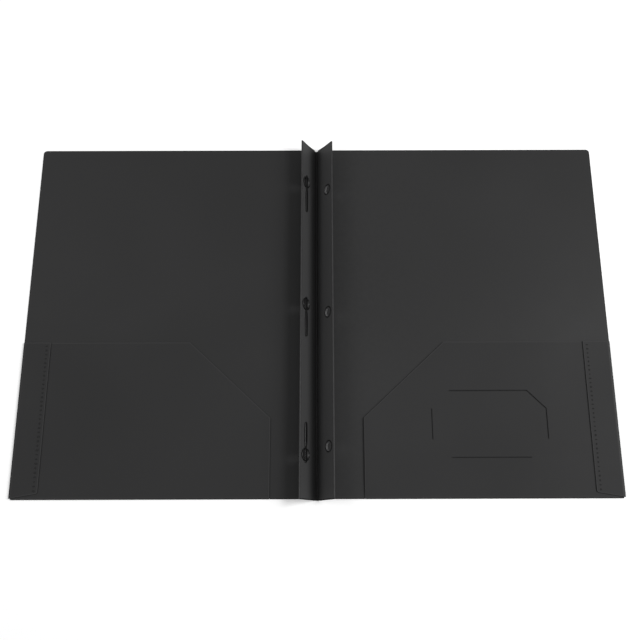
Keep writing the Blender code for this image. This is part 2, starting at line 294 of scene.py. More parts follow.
def link(name: str, mesh: bpy.types.Mesh, material: bpy.types.Material) -> bpy.types.Object:
    """Puts a mesh in the scene as a piece.

    Args:
        name: The piece's name.
        mesh: Its mesh, in its place.
        material: Its finish.

    Returns:
        The piece.
    """
    mesh.name = name
    mesh.materials.clear()
    mesh.materials.append(material)
    piece = bpy.data.objects.new(name, mesh)
    bpy.context.scene.collection.objects.link(piece)
    return piece


def settle(piece: bpy.types.Object, body: str, slot: Slot, *nodes: str) -> None:
    """Hangs a finished piece on its body, and hides the CAD nodes that it replaces.

    Args:
        piece: The finished piece.
        body: The CAD body that it rides on.
        slot: The record's slot that its finish comes from. Not used.
        nodes: The CAD nodes that it replaces.
    """
    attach(piece, body)
    if nodes:
        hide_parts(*nodes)
    LOG.info("%s: %d faces on %s", piece.name, len(piece.data.polygons), body)


def hinge(
    piece: bpy.types.Object, bodies: tuple[str, str], ends: Sequence[Sequence[float]], slot: Slot, *nodes: str
) -> None:
    """Bakes a finished piece's placing into its mesh and leaves it where it lies across a joint, on neither
    body.

    Args:
        piece: The finished piece.
        bodies: The two CAD bodies.
        ends: Where the bending starts, on the first body, and where it ends. Not used.
        slot: The record's slot that its finish comes from. Not used.
        nodes: The CAD nodes that it replaces.
    """
    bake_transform(piece)
    if nodes:
        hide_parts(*nodes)
    LOG.info("%s: %d faces from %s to %s", piece.name, len(piece.data.polygons), *bodies)


# Sections and panels


@dataclass(frozen=True)
class Bend:
    """A stretch of a section: straight where turn is 0, or else an arc that turns by that many radians."""

    length: float
    turn: float = 0.0


class Section:
    """The line that the middle of the sheet follows, seen along its folds."""

    def __init__(self, start: Point, heading: float, bends: Sequence[Bend]) -> None:
        """Lays the stretches end to end.

        Args:
            start: The first point.
            heading: The direction there, in radians.
            bends: The stretches in order.
        """
        self.stretches: list[tuple[float, Vector, float, Bend]] = []
        place, along = Vector(start), 0.0
        for bend in bends:
            self.stretches.append((along, place.copy(), heading, bend))
            place = place + self._run(heading, bend, bend.length)
            heading += bend.turn
            along += bend.length
        self.length = along

    @staticmethod
    def _run(heading: float, bend: Bend, distance: float) -> Vector:
        """The way from a stretch's start to a point of it.

        Args:
            heading: The direction at its start, in radians.
            bend: The stretch.
            distance: How far along it the point lies.

        Returns:
            The way in the section's plane.
        """
        if not bend.turn:
            return Vector((math.cos(heading), math.sin(heading))) * distance
        radius = bend.length / bend.turn
        turned = heading + distance / radius
        across = math.sin(turned) - math.sin(heading)
        return Vector((across, math.cos(heading) - math.cos(turned))) * radius

    def at(self, along: float) -> tuple[Vector, Vector]:
        """The section at a distance along it.

        Args:
            along: The distance from its start.

        Returns:
            The point, and the normal on its left hand.
        """
        reached = (s for s in reversed(self.stretches) if s[0] <= along)
        start, place, heading, bend = next(reached, self.stretches[0])
        turned = heading + (bend.turn * (along - start) / bend.length if bend.turn else 0.0)
        return place + self._run(heading, bend, along - start), Vector((-math.sin(turned), math.cos(turned)))

    def worked(self, along: float) -> float:
        """How much a fold works the sheet, and so where the fold colour goes, which on the pocket and the
        side flaps is a painted highlight.

        Args:
            along: The distance along the section.

        Returns:
            1 in a fold, and 0 from a short way beside it.
        """
        nearest = min(
            (max(s - along, along - s - b.length, 0.0) for s, _, _, b in self.stretches if b.turn),
            default=FOLD_REACH,
        )
        return 1.0 - min(nearest / FOLD_REACH, 1.0)

    def cuts(self, step: float, fold_steps: int = 12) -> list[float]:
        """Finds where the mesh is cut across the section.

        Args:
            step: The length of a face between folds.
            fold_steps: The faces in a fold.

        Returns:
            The distances along the section.
        """
        places = []
        for start, _, _, bend in self.stretches:
            count = fold_steps if bend.turn else max(1, round(bend.length / step))
            places += [start + bend.length * i / count for i in range(count + 1)]
            for beside in FOLD_CUTS if bend.turn else ():
                places += [start - beside, start + bend.length + beside]
        return sorted({round(p, 9) for p in places if TOUCH < p < self.length - TOUCH})


def rounded(corners: Sequence[tuple[float, float, float]], steps: int = 8) -> list[Point]:
    """The outline through some corners.

    Args:
        corners: Each corner's place and its radius, 0 for a sharp one.
        steps: The flats in each rounded corner.

    Returns:
        The outline's points.
    """
    outline: list[Point] = []
    for i, (x, y, radius) in enumerate(corners):
        if not radius:
            outline.append((x, y))
            continue
        corner = Vector((x, y))
        before = (Vector(corners[i - 1][:2]) - corner).normalized()
        after = (Vector(corners[(i + 1) % len(corners)][:2]) - corner).normalized()
        half = before.angle(after) / 2
        centre = corner + (before + after).normalized() * radius / math.sin(half)
        first = math.atan2(*reversed(corner + before * radius / math.tan(half) - centre))
        last = math.atan2(*reversed(corner + after * radius / math.tan(half) - centre))
        turn = (last - first + math.pi) % math.tau - math.pi
        for step in range(steps + 1):
            angle = first + turn * step / steps
            outline.append((centre.x + radius * math.cos(angle), centre.y + radius * math.sin(angle)))
    return outline


def ring(centre: Point, radius: float, sides: int = 48) -> list[Point]:
    """The points of a circle."""
    turns = (math.tau * i / sides for i in range(sides))
    return [(centre[0] + radius * math.cos(t), centre[1] + radius * math.sin(t)) for t in turns]


def ribbon(path: Sequence[Point], width: float) -> list[Point]:
    """The outline of a slit along a path of straight runs.

    Args:
        path: The points of the path.
        width: The slit's width.

    Returns:
        The outline's points.
    """
    sides: tuple[list[Point], list[Point]] = ([], [])
    for i, point in enumerate(path):
        here = Vector(point)
        into = (here - Vector(path[i - 1])).normalized() if i else None
        out = (Vector(path[i + 1]) - here).normalized() if i + 1 < len(path) else None
        along = ((into or out) + (out or into)).normalized()
        across = Vector((-along.y, along.x))
        reach = width / 2 / across.dot(Vector((-(out or into).y, (out or into).x)))
        sides[0].append(tuple(here + across * reach))
        sides[1].append(tuple(here - across * reach))
    return sides[0] + sides[1][::-1]


def mitred(normals: Sequence[Vector]) -> Vector:
    """The mitre of the edges that meet at a corner.

    Args:
        normals: The normals of one or two of them, or none.

    Returns:
        One step across them.
    """
    if len(normals) < 2:
        return normals[0] if normals else Vector((0.0, 0.0))
    return (normals[0] + normals[1]) / max(1 + normals[0].dot(normals[1]), MITRE_LIMIT)


@dataclass(frozen=True)
class Mark:
    """A point of the sheet, and how much fold colour, band paint and rim paint it takes."""

    point: Vector
    folded: float = 0.0
    band_paint: float = 0.0
    rim_paint: float = 0.0


@dataclass
class Panel:
    """A panel of the die-cut sheet: its outline in the flat, and the section that folds it.

    Attributes:
        name: The piece's name.
        section: The section that the panel follows.
        outline: The cut outline, as distance along the section and place across it.
        place: Turns a point of the section's plane and a place across it into a point in space.
        holes: The outlines of what is punched or slit.
        joins: Lines of the outline, as (axis, value), where the sheet runs on into another piece.
        lift: The rise of the sheet off its section at a place in the flat.
        step_along: The length of a face along the section.
        step_across: The length of a face across it.
        rim: How far the cut edge is rounded.
        chamfer: The share of the rim that its middle cuts off, on both sides of its corner.
        band_start: The share of the band at which its band paint is whole.
        least_rim_paint: How much rim paint the rim's middle takes at least.
        band: How wide the band paint along the outline is.
        hole_band: How wide it is round a hole.
        hole_marks: How much band paint and rim paint that band takes.
        paler: How much painted light lightens the sheet at a distance along the section.
        painted_valley_shade: How much painted shade darkens the sheet at a distance along the section.
        turned: How much rim paint the sheet takes at a distance along the section, as painted shade where a
            fold is the folder's edge.
        dark_ends: How far from its ends across the section the cut edges take no rim paint and stay dark.
    """

    name: str
    section: Section
    outline: Sequence[Point]
    place: Callable[[Vector, float], Vector]
    holes: Sequence[Sequence[Point]] = ()
    joins: Sequence[tuple[int, float]] = ()
    lift: Callable[[float, float], float] = lambda along, across: 0.0
    step_along: float = 6 * MM
    step_across: float = 6 * MM
    rim: float = 0.10 * MM
    chamfer: float = 0.29
    band_start: float = 0.35
    least_rim_paint: float = 0.5
    band: float = 0.30 * MM
    hole_band: float = 0.30 * MM
    hole_marks: tuple[float, float] = (1.0, 0.0)
    paler: Callable[[float], float] = lambda along: 0.0
    painted_valley_shade: Callable[[float], float] = lambda along: 0.0
    turned: Callable[[float], float] = lambda along: 0.0
    dark_ends: float = 0.0

    def _drawn_in(self, loop: Sequence[Point], hole: bool) -> list[Point]:
        """A loop of the outline moved into the sheet by the band's width, but not where the sheet runs on.

        Args:
            loop: The loop's points.
            hole: Whether it bounds a hole.

        Returns:
            The moved points.
        """
        area = sum(a[0] * b[1] - b[0] * a[1] for a, b in zip(loop, [*loop[1:], loop[0]]))
        hand = 1 if (area > 0) != hole else -1
        normals = []
        for start, end in zip(loop, [*loop[1:], loop[0]]):
            run = (Vector(end) - Vector(start)).normalized()
            kept = any(
                max(abs(start[axis] - value), abs(end[axis] - value)) < TOUCH for axis, value in self.joins
            )
            normals.append(None if kept else Vector((-run.y, run.x)) * hand)
        moved = []
        for i, point in enumerate(loop):
            near = [n for n in (normals[i - 1], normals[i]) if n]
            moved.append(tuple(Vector(point) + mitred(near) * (self.hole_band if hole else self.band)))
        return moved

    def _on_hole(self, vertex: bmesh.types.BMVert) -> bool:
        """Whether a vertex lies round a hole.

        Args:
            vertex: A vertex of the flat's boundary.

        Returns:
            Whether it does.
        """
        reach = self.hole_band + HOLE_SLACK
        place = vertex.co.xy * MM
        for hole in self.holes:
            if all(min(c) - reach < p < max(c) + reach for p, c in zip(place, zip(*hole))):
                return True
        return False

    def _flat(self) -> bmesh.types.BMesh:
        """Lays the panel out in the flat, in millimetres, cut into a grid of faces.

        Returns:
            The flat.
        """
        flat = bmesh.new()
        loops = [self._drawn_in(self.outline, False)] + [self._drawn_in(hole, True) for hole in self.holes]
        for loop in loops:
            points = [flat.verts.new((s / MM, v / MM, 0.0)) for s, v in loop]
            for i in range(len(points)):
                flat.edges.new((points[i - 1], points[i]))
        bmesh.ops.triangle_fill(flat, use_beauty=True, use_dissolve=False, edges=flat.edges[:])
        low = min(v for _, v in self.outline)
        high = max(v for _, v in self.outline)
        rows = max(1, round((high - low) / self.step_across))
        lines = [(0, s) for s in self.section.cuts(self.step_along)]
        lines += [(1, low + (high - low) * i / rows) for i in range(1, rows)]
        for axis, value in lines:
            through = Vector((0.0, 0.0, 0.0))
            square = Vector((0.0, 0.0, 0.0))
            through[axis], square[axis] = value / MM, 1.0
            parts = flat.verts[:] + flat.edges[:] + flat.faces[:]
            bmesh.ops.bisect_plane(flat, geom=parts, dist=CUT_SNAP, plane_co=through, plane_no=square)
        for face in flat.faces:
            face.normal_update()
            if face.normal.z < 0:
                face.normal_flip()
        self._clear_diagonals(flat)
        flat.verts.index_update()
        return flat

    @staticmethod
    def _clear_diagonals(flat: bmesh.types.BMesh) -> None:
        """Takes out the slanted edges that the fill left inside the grid's cells.

        Args:
            flat: The flat.
        """
        slanted = []
        for edge in flat.edges:
            run = edge.verts[1].co - edge.verts[0].co
            inside = not any(v.is_boundary for f in edge.link_faces for v in f.verts)
            if inside and min(abs(run.x), abs(run.y)) > TOUCH_FLAT:
                slanted.append(edge)
        bmesh.ops.dissolve_edges(flat, edges=slanted, use_verts=False)

    def _joined(self, edge: bmesh.types.BMEdge) -> bool:
        """Whether the sheet runs on past a boundary edge."""
        lines = ((axis, value / MM) for axis, value in self.joins)
        return any(all(abs(v.co[axis] - value) < TOUCH_FLAT for v in edge.verts) for axis, value in lines)

    def _inward(self, vertex: bmesh.types.BMVert) -> Vector:
        """The way into the sheet at a cut edge, long enough to keep the band's width round a corner.

        Args:
            vertex: A vertex of the flat's boundary.

        Returns:
            That way, without length where the sheet only runs on.
        """
        normals = []
        for edge in vertex.link_edges:
            if not edge.is_boundary or self._joined(edge):
                continue
            run = (edge.verts[1].co - edge.verts[0].co).normalized()
            across = Vector((-run.y, run.x))
            middle = edge.link_faces[0].calc_center_median() - edge.verts[0].co
            normals.append(across if across.dot(middle.xy) > 0 else -across)
        return mitred(normals)

    def _column(self, vertex: bmesh.types.BMVert) -> list[Mark]:
        """The points through the sheet's thickness at a vertex of the flat.

        Args:
            vertex: The vertex.

        Returns:
            The points from one face to the other, which round a cut edge, with the fold colour, band paint
            and rim paint that each takes.
        """
        on_hole = vertex.is_boundary and self._on_hole(vertex)
        band_paint, rim_paint = self.hole_marks if on_hole else (1.0, 0.0)
        half, rim, band = GAUGE.sheet / 2, self.rim, self.hole_band if on_hole else self.band
        inward = self._inward(vertex) if vertex.is_boundary else Vector((0.0, 0.0))
        if not inward.length:
            levels = [(0.0, half, 0.0, 0.0), (0.0, -half, 0.0, 0.0)]
        else:
            cut = self.chamfer * rim
            upper = [
                (0.0, half, 0.0, 0.0),
                (self.band_start * (band - rim), half, band_paint, rim_paint),
                (band - rim, half, band_paint, rim_paint),
                (band - cut, half - cut, 1.0, max(rim_paint, self.least_rim_paint)),
                (band, half - rim, 1.0, 1.0),
            ]
            levels = upper + [(reach, -height, *marks) for reach, height, *marks in reversed(upper)]
        column = []
        for reach, height, band_paint, rim_paint in levels:
            along = vertex.co.x * MM - inward.x * reach
            across = vertex.co.y * MM - inward.y * reach
            middle, normal = self.section.at(along)
            point = self.place(middle + normal * height, across)
            point.z += self.lift(along, across)
            from_end = min(across - self.outline[0][1], self.outline[-1][1] - across)
            shown = max(rim_paint if from_end > self.dark_ends else 0.0, self.turned(along))
            folded = max(self.section.worked(along), self.paler(along))
            column.append(Mark(point, folded, max(band_paint, self.painted_valley_shade(along)), shown))
        return column

    def build(self, material: bpy.types.Material) -> bpy.types.Object:
        """Folds the panel and gives it its thickness and its rounded rims.

        Args:
            material: The panel's finish.

        Returns:
            The panel as a piece.
        """
        flat = self._flat()
        solid = bmesh.new()
        layers = {name: solid.verts.layers.float.new(name) for name in ("folded", "band_paint", "rim_paint")}
        columns = []
        for vertex in flat.verts:
            made = []
            for mark in self._column(vertex):
                made.append(solid.verts.new(mark.point))
                for name, layer in layers.items():
                    made[-1][layer] = getattr(mark, name)
            columns.append(made)
        for face in flat.faces:
            solid.faces.new([columns[v.index][0] for v in face.verts])
            solid.faces.new([columns[v.index][-1] for v in reversed(face.verts)])
        for edge in flat.edges:
            if not edge.is_boundary:
                continue
            a, b = (columns[v.index] for v in edge.verts)
            if self._joined(edge) or len(a) != len(b) or len(a) == 2:
                solid.faces.new(a + b[::-1])
                continue
            for i in range(len(a) - 1):
                solid.faces.new((a[i], a[i + 1], b[i + 1], b[i]))
        flat.free()
        bmesh.ops.recalc_face_normals(solid, faces=solid.faces)
        mesh = bpy.data.meshes.new(self.name)
        solid.to_mesh(mesh)
        solid.free()
        mesh.shade_smooth()
        mesh.set_sharp_from_angle(angle=SHARP_SHEET)
        return link(self.name, mesh, material)


# Node trees


class Wires:
    """Places the nodes of one tree and joins them."""

    def __init__(self, tree: bpy.types.NodeTree) -> None:
        """Starts on a tree."""
        self.tree = tree

    def feed(self, value: Any, socket: Socket) -> None:
        """Fills a socket.

        Args:
            value: Another node's output, or a value.
            socket: The socket that it goes into.
        """
        if isinstance(value, bpy.types.NodeSocket):
            self.tree.links.new(value, socket)
        else:
            socket.default_value = value

    def add(self, kind: str, inputs: dict[str | int, Any] | None = None, **settings: Any) -> bpy.types.Node:
        """Adds a node.

        Args:
            kind: The node's type.
            inputs: What goes into its sockets, by name or number: another node's output, or a value.
            settings: The node's own settings.

        Returns:
            The node.
        """
        node = self.tree.nodes.new(kind)
        for name, value in settings.items():
            setattr(node, name, value)
        for key, value in (inputs or {}).items():
            self.feed(value, node.inputs[key])
        return node

    def group(self, tree: bpy.types.NodeTree, **inputs: Any) -> Any:
        """Places a shader group, and returns its outputs."""
        return self.add("ShaderNodeGroup", inputs, node_tree=tree).outputs

    def math(self, operation: str, *values: Any, clamp: bool = False) -> Socket:
        """Adds a Math node, and returns its result."""
        kind = "ShaderNodeMath"
        return self.add(kind, dict(enumerate(values)), operation=operation, use_clamp=clamp).outputs[0]

    def noise(self, place: Any, scale: Any, detail: float, **others: float) -> Socket:
        """Adds a Noise Texture node, and returns its value."""
        inputs = {"Vector": place, "Scale": scale, "Detail": detail, **others}
        return self.add("ShaderNodeTexNoise", inputs).outputs[0]

    def smooth(self, value: Any, span: Point, to: Point = (0.0, 1.0)) -> Socket:
        """Adds a smooth Map Range node from one span to another, and returns its result."""
        inputs = {"Value": value, "From Min": span[0], "From Max": span[1], "To Min": to[0], "To Max": to[1]}
        return self.add("ShaderNodeMapRange", inputs, interpolation_type="SMOOTHSTEP").outputs["Result"]

    def blend(self, share: Any, first: Any, second: Any) -> Socket:
        """Adds a Mix node for colours.

        Args:
            share: The share of the second colour.
            first: The first colour.
            second: The second colour.

        Returns:
            The mixed colour.
        """
        node = self.add("ShaderNodeMix", data_type="RGBA")
        for name, kind, value in (("Factor", "VALUE", share), ("A", "RGBA", first), ("B", "RGBA", second)):
            self.feed(value, next(s for s in node.inputs if s.name == name and s.type == kind and s.enabled))
        return next(s for s in node.outputs if s.type == "RGBA" and s.enabled)


def new_group(
    name: str, kind: str, inputs: dict[str, Any], outputs: Sequence[str], output_type: str = "NodeSocketFloat"
) -> tuple[Wires, Any, Any]:
    """Makes an empty node group with named sockets.

    Args:
        name: The group's name.
        kind: The type of its tree.
        inputs: The kind of each input's socket, or its starting value for a plain number.
        outputs: The names of its outputs.
        output_type: The kind of their sockets.

    Returns:
        The group's wires, its input node's outputs and its output node's inputs.
    """
    tree = bpy.data.node_groups.new(name, kind)
    for label, value in inputs.items():
        socket_type = value if isinstance(value, str) else "NodeSocketFloat"
        socket = tree.interface.new_socket(label, in_out="INPUT", socket_type=socket_type)
        if not isinstance(value, str):
            socket.default_value = value
    for label in outputs:
        tree.interface.new_socket(label, in_out="OUTPUT", socket_type=output_type)
    wires = Wires(tree)
    return wires, wires.add("NodeGroupInput").outputs, wires.add("NodeGroupOutput").inputs


def grain_group() -> bpy.types.NodeTree:
    """The fine satin grain that the rolls leave on the sheet, as a height and a shift in roughness.

    Returns:
        The shader group.
    """
    wires, given, gives = new_group(
        "satin grain", "ShaderNodeTree",
        {"Place": "NodeSocketVector", "Grain": 2600.0, "Mottle": 55.0}, ("Height", "Mottle"),
    )
    wires.feed(wires.noise(given["Place"], given["Grain"], 2.0, Roughness=0.6), gives["Height"])
    broad = wires.noise(given["Place"], given["Mottle"], 3.0, Roughness=0.5)
    wires.feed(wires.math("SUBTRACT", broad, 0.5), gives["Mottle"])
    return wires.tree


def streak_group() -> bpy.types.NodeTree:
    """The faint streaks along which the sheet left its rolls, as a shift from 0.

    Returns:
        The shader group.
    """
    wires, given, gives = new_group(
        "roll streaks", "ShaderNodeTree",
        {"Place": "NodeSocketVector", "Across": 420.0, "Along": 5.0}, ("Streak",),
    )
    parts = wires.add("ShaderNodeSeparateXYZ", {0: given["Place"]}).outputs
    scales = (given["Across"], given["Along"], given["Across"])
    scaled = {i: wires.math("MULTIPLY", parts[i], scale) for i, scale in enumerate(scales)}
    stretched = wires.add("ShaderNodeCombineXYZ", scaled).outputs[0]
    wires.feed(wires.math("SUBTRACT", wires.noise(stretched, 1.0, 3.0), 0.5), gives["Streak"])
    return wires.tree


def wear_and_painted_light_group() -> bpy.types.NodeTree:
    """Where the sheet takes its fold colour, its band paint beside a cut and its rim paint in it, as masks
    that on some finishes carry painted highlight and painted shade. Noise breaks up the folds'.

    Returns:
        The shader group.
    """
    masks = ("Folded", "Band_paint", "Rim_paint")
    wires, given, gives = new_group(
        "wear and painted light", "ShaderNodeTree",
        {"Place": "NodeSocketVector", "Breaks": 260.0, "Broken": 0.35}, masks,
    )
    breaks = wires.smooth(wires.noise(given["Place"], given["Breaks"], 2.0), (0.35, 0.65))
    whole = wires.math("SUBTRACT", 1.0, wires.math("MULTIPLY", breaks, given["Broken"]))
    for mask in masks:
        mark = wires.add("ShaderNodeAttribute", attribute_name=mask.lower()).outputs["Fac"]
        wires.feed(wires.math("MULTIPLY", mark, whole) if mask == "Folded" else mark, gives[mask])
    return wires.tree


def haze_group() -> bpy.types.NodeTree:
    """The soft cloudiness of a used sheet: broad patches that are a little paler, as a factor round 1.

    Returns:
        The shader group.
    """
    wires, given, gives = new_group(
        "soft haze", "ShaderNodeTree",
        {"Place": "NodeSocketVector", "Patches": 7.0, "Depth": 0.1, "Contrast": 4.0}, ("Factor",),
    )
    noise = wires.noise(given["Place"], given["Patches"], 1.5, Distortion=0.4)
    shift = wires.math("MULTIPLY", wires.math("SUBTRACT", noise, 0.5), given["Depth"])
    wires.feed(wires.math("MULTIPLY_ADD", shift, given["Contrast"], 1.0), gives["Factor"])
    return wires.tree


@dataclass
class Groups:
    """The shader groups that the finishes share, each built once."""

    grain: bpy.types.NodeTree = field(default_factory=grain_group)
    streak: bpy.types.NodeTree = field(default_factory=streak_group)
    wear_and_painted_light: bpy.types.NodeTree = field(default_factory=wear_and_painted_light_group)
    haze: bpy.types.NodeTree = field(default_factory=haze_group)


@dataclass(frozen=True)
class Plastic:
    """One finish of the black polypropylene.

    Attributes:
        name: The material's name.
        open: Its colour in the open.
        folded: Its colour in a fold and beside it, which is a painted highlight on the pocket and the side
            flaps, and painted light beside the spine on the cover.
        band_paint: Its colour in the band along a cut, which on some finishes is a painted highlight or
            painted shade.
        rim_paint: Its colour on a cut's rim, which on some finishes is a painted highlight or painted shade.
        roughness: Its roughness in the open.
        folded_roughness: Its roughness in a fold.
        specular: The strength of its shine.
        grain: The depth of the satin grain.
        grain_scale: How fine that grain is, in grains a metre.
        streak: How far the roll's streaks shift its roughness.
        mottle: How far broad patches shift its roughness.
        haze: How far soft patches shift its colour.
    """

    name: str
    open: Colour = (0.0248, 0.0248, 0.0251)
    folded: Colour = (0.030, 0.030, 0.0304)
    band_paint: Colour = (0.010, 0.010, 0.0102)
    rim_paint: Colour = (0.016, 0.016, 0.0162)
    roughness: float = 0.52
    folded_roughness: float = 0.42
    specular: float = 0.12
    grain: float = 0.006 * MM
    grain_scale: float = 2600.0
    streak: float = 0.05
    mottle: float = 0.08
    haze: float = 0.10

    def material(self, groups: Groups) -> bpy.types.Material:
        """Builds the material.

        Args:
            groups: The shared shader groups.

        Returns:
            The material.
        """
        material = bpy.data.materials.new(self.name)
        material.use_nodes = True
        wires = Wires(material.node_tree)
        shader = material.node_tree.nodes["Principled BSDF"]
        place = wires.add("ShaderNodeTexCoord").outputs["Object"]
        grain = wires.group(groups.grain, Place=place, Grain=self.grain_scale)
        streak = wires.group(groups.streak, Place=place)["Streak"]
        haze = wires.group(groups.haze, Place=place, Depth=self.haze)["Factor"]
        wear_and_painted_light = wires.group(groups.wear_and_painted_light, Place=place)
        hazed = wires.add("ShaderNodeVectorMath", {0: self.open, "Scale": haze}, operation="SCALE")
        colour = hazed.outputs[0]
        # The fold colour, band paint and rim paint go over the open colour; on some finishes they are painted
        # highlight and painted shade.
        for mask, worked in (("Folded", self.folded), ("Band_paint", self.band_paint), ("Rim_paint", self.rim_paint)):
            colour = wires.blend(wear_and_painted_light[mask], colour, (*worked, 1.0))
        streaked = wires.math("MULTIPLY_ADD", streak, self.streak, self.roughness)
        mottled = wires.math("ADD", streaked, wires.math("MULTIPLY", grain["Mottle"], self.mottle))
        drop = wires.math("MULTIPLY", wear_and_painted_light["Folded"], self.folded_roughness - self.roughness)
        relief = {"Strength": 1.0, "Distance": self.grain, "Height": grain["Height"]}
        bump = wires.add("ShaderNodeBump", relief)
        wires.feed(colour, shader.inputs["Base Color"])
        wires.feed(wires.math("ADD", mottled, drop), shader.inputs["Roughness"])
        wires.feed(bump.outputs[0], shader.inputs["Normal"])
        wires.feed(0.0, shader.inputs["Metallic"])
        wires.feed(self.specular, shader.inputs["Specular IOR Level"])
        return material


@dataclass
class Finishes:
    """The folder's materials."""

    groups: Groups = field(default_factory=Groups)

    def __post_init__(self) -> None:
        """Builds each material."""
        # The cover's fold colour is laid on only beside the spine of the right cover, as painted light; its
        # band paint is a darker band along its cuts.
        cover = Plastic("cover_sheet", folded=(0.038, 0.038, 0.0384), folded_roughness=0.50)
        # The pocket's open colour is painted paler than the cover's, as painted light; its fold colour and
        # band paint are painted highlights on its near fold and along its cuts; its rim paint is painted
        # shade on its outer folds and in its slits, and darkens its cut rims.
        pocket = Plastic(
            "pocket_sheet", open=(0.0350, 0.0350, 0.0354), folded=(0.042, 0.042, 0.0424),
            band_paint=(0.048, 0.048, 0.0485), rim_paint=(0.007, 0.007, 0.0071), specular=0.04,
        )
        # The right flap's paler fold colour is a painted highlight on its outer fold, which faces the lamps.
        flap = replace(pocket, name="flap_sheet_painted_highlight", folded=(0.066, 0.066, 0.0666))
        # The fin's colours are a lit copy of the sheet: its open colour is painted far paler than the
        # cover's, as painted light on its walls; its band paint is painted shade round its holes and at the
        # foot of its inner wall, and a darker band along its outline; its pale rim paint is a painted
        # highlight inside its holes.
        fin = Plastic(
            "fin_sheet", open=(0.051, 0.051, 0.0515), folded=(0.036, 0.036, 0.0364),
            band_paint=(0.007, 0.007, 0.0071), rim_paint=(0.24, 0.24, 0.242), haze=0.04,
        )
        # The valley fold is painted near black, as painted shade in the crease.
        crease = Plastic("valley_sheet_painted_shade", open=(0.004, 0.004, 0.0041), folded=(0.004, 0.004, 0.0041))
        weld = Plastic(
            "melted_weld", open=(0.0175, 0.0175, 0.0177), roughness=0.45, specular=0.04, streak=0.0, haze=0.0
        )
        faint = replace(weld, name="faint_weld", open=(0.0235, 0.0235, 0.0237))
        moulded = Plastic(
            "moulded_fastener", open=(0.0042, 0.0042, 0.0043), roughness=0.30, specular=0.34, streak=0.0,
            grain=0.002 * MM, haze=0.0,
        )
        self.cover = cover.material(self.groups)
        self.pocket = pocket.material(self.groups)
        self.flaps = {Side.LEFT: self.pocket, Side.RIGHT: flap.material(self.groups)}
        self.fin = fin.material(self.groups)
        self.crease = crease.material(self.groups)
        self.welds = {Side.LEFT: faint.material(self.groups), Side.RIGHT: weld.material(self.groups)}
        self.moulded = moulded.material(self.groups)


# The halves of the folder


@dataclass(frozen=True)
class CardHolder:
    """The octagon of slits in the right pocket, of which five sides are cut.

    Attributes:
        width: Its width.
        height: Its height.
        corner: How much of each side a slanted corner takes.
        from_spine: How far its middle lies from the spine's middle.
        from_near: How far its middle lies from the near edge.
        slits: The widths of the three runs of slits.
        lift: How far the card's side of the longest run stands up.
        lift_reach: How far into the octagon that fades.
        lift_start: The share of a corner after which the rise starts at the run's ends.
        lift_ends: How far from there it reaches its height.
    """

    width: float = 91.0 * MM
    height: float = 53.0 * MM
    corner: float = 14.5 * MM
    from_spine: float = 136.5 * MM
    from_near: float = 58.0 * MM
    slits: tuple[float, float, float] = (0.5 * MM, 0.35 * MM, 0.3 * MM)
    lift: float = 0.22 * MM
    lift_reach: float = 9 * MM
    lift_start: float = 0.5
    lift_ends: float = 12 * MM

    def outlines(self, offset: float) -> list[list[Point]]:
        """The outlines of the slits in the pocket's flat.

        Args:
            offset: The distance along the flat of place 0 along the spine.

        Returns:
            One outline for each of the three runs.
        """
        left, right = self.from_spine - self.width / 2, self.from_spine + self.width / 2
        low = GAUGE.near + self.from_near - self.height / 2
        high = low + self.height
        runs = (
            [
                (left + self.corner, high), (right - self.corner, high),
                (right, high - self.corner), (right, low + self.corner),
            ],
            [(left, high - self.corner), (left, low + self.corner)],
            [(left + self.corner, low), (right - self.corner, low)],
        )
        return [ribbon([(y + offset, x) for x, y in run], slit) for run, slit in zip(runs, self.slits)]

    def rise(self, x: float, y: float) -> float:
        """How far the card's side of the slits stands up from the pocket, beside the longest run.

        Args:
            x: The distance from the spine's middle.
            y: The place along the spine.

        Returns:
            The rise.
        """
        across, along = x - self.from_spine, y - GAUGE.near - self.from_near
        half_width, half_height = self.width / 2, self.height / 2
        slanted = (half_width + half_height - self.corner - across - along) / math.sqrt(2)
        depth = min(half_height - along, half_width - across, slanted)
        if depth < 0 or across < -half_width or along < -half_height:
            return 0.0
        start = self.corner * self.lift_start
        ends = ease((across + half_width - start) / self.lift_ends)
        ends *= ease((along + half_height - start) / self.lift_ends)
        return self.lift * math.exp(-((depth / self.lift_reach) ** 2)) * ends


@dataclass(frozen=True)
class Gape:
    """How far the right pocket's inner edge and its slant stand open.

    Attributes:
        height: How far the upright part of the edge does.
        slant_loss: How much less the slant does.
        foot: How far up from the fold the edge reaches that.
        reach: How far into the pocket it fades.
    """

    height: float = 0.8 * MM
    slant_loss: float = 0.35 * MM
    foot: float = 9 * MM
    reach: float = 13 * MM

    def at(self, up: float, across: float) -> float:
        """The rise of the pocket at a place.

        Args:
            up: The distance up the pocket from its fold.
            across: The distance from the spine's middle.

        Returns:
            The rise.
        """
        g = GAUGE
        above = max(0.0, up + g.pocket_fold - g.pocket_slant_start)
        slanted = above / (g.pocket_top - g.near - g.pocket_slant_start)
        edge = g.pocket_margin + (g.pocket_slant_end - g.pocket_margin) * min(1.0, slanted)
        height = self.height - self.slant_loss * ease(2 * slanted)
        return height * ease(up / self.foot) * math.exp(-(((across - edge) / self.reach) ** 2))


@dataclass(frozen=True)
class WeldLine:
    """The line of spot welds along a side flap.

    Attributes:
        count: How many there are.
        inset: How far from the flap's inner edge they lie.
        first: How far the first one lies from the near edge.
        last: How far the last one lies from the pocket's top.
        radius: The radius of a crater before it is scaled.
        rim: The height of its rim.
        sink: How far its foot is sunk into the flap.
        smallest: Its least scale across, along and up.
        largest: Its greatest scale.
        seed: What the random sizes start from.
    """

    count: int = 34
    inset: float = 3.2 * MM
    first: float = 6.6 * MM
    last: float = 3.0 * MM
    radius: float = 0.72 * MM
    rim: float = 0.10 * MM
    sink: float = 0.06 * MM
    smallest: tuple[float, float, float] = (0.95, 0.6, 0.8)
    largest: tuple[float, float, float] = (1.6, 1.25, 1.2)
    seed: int = 7


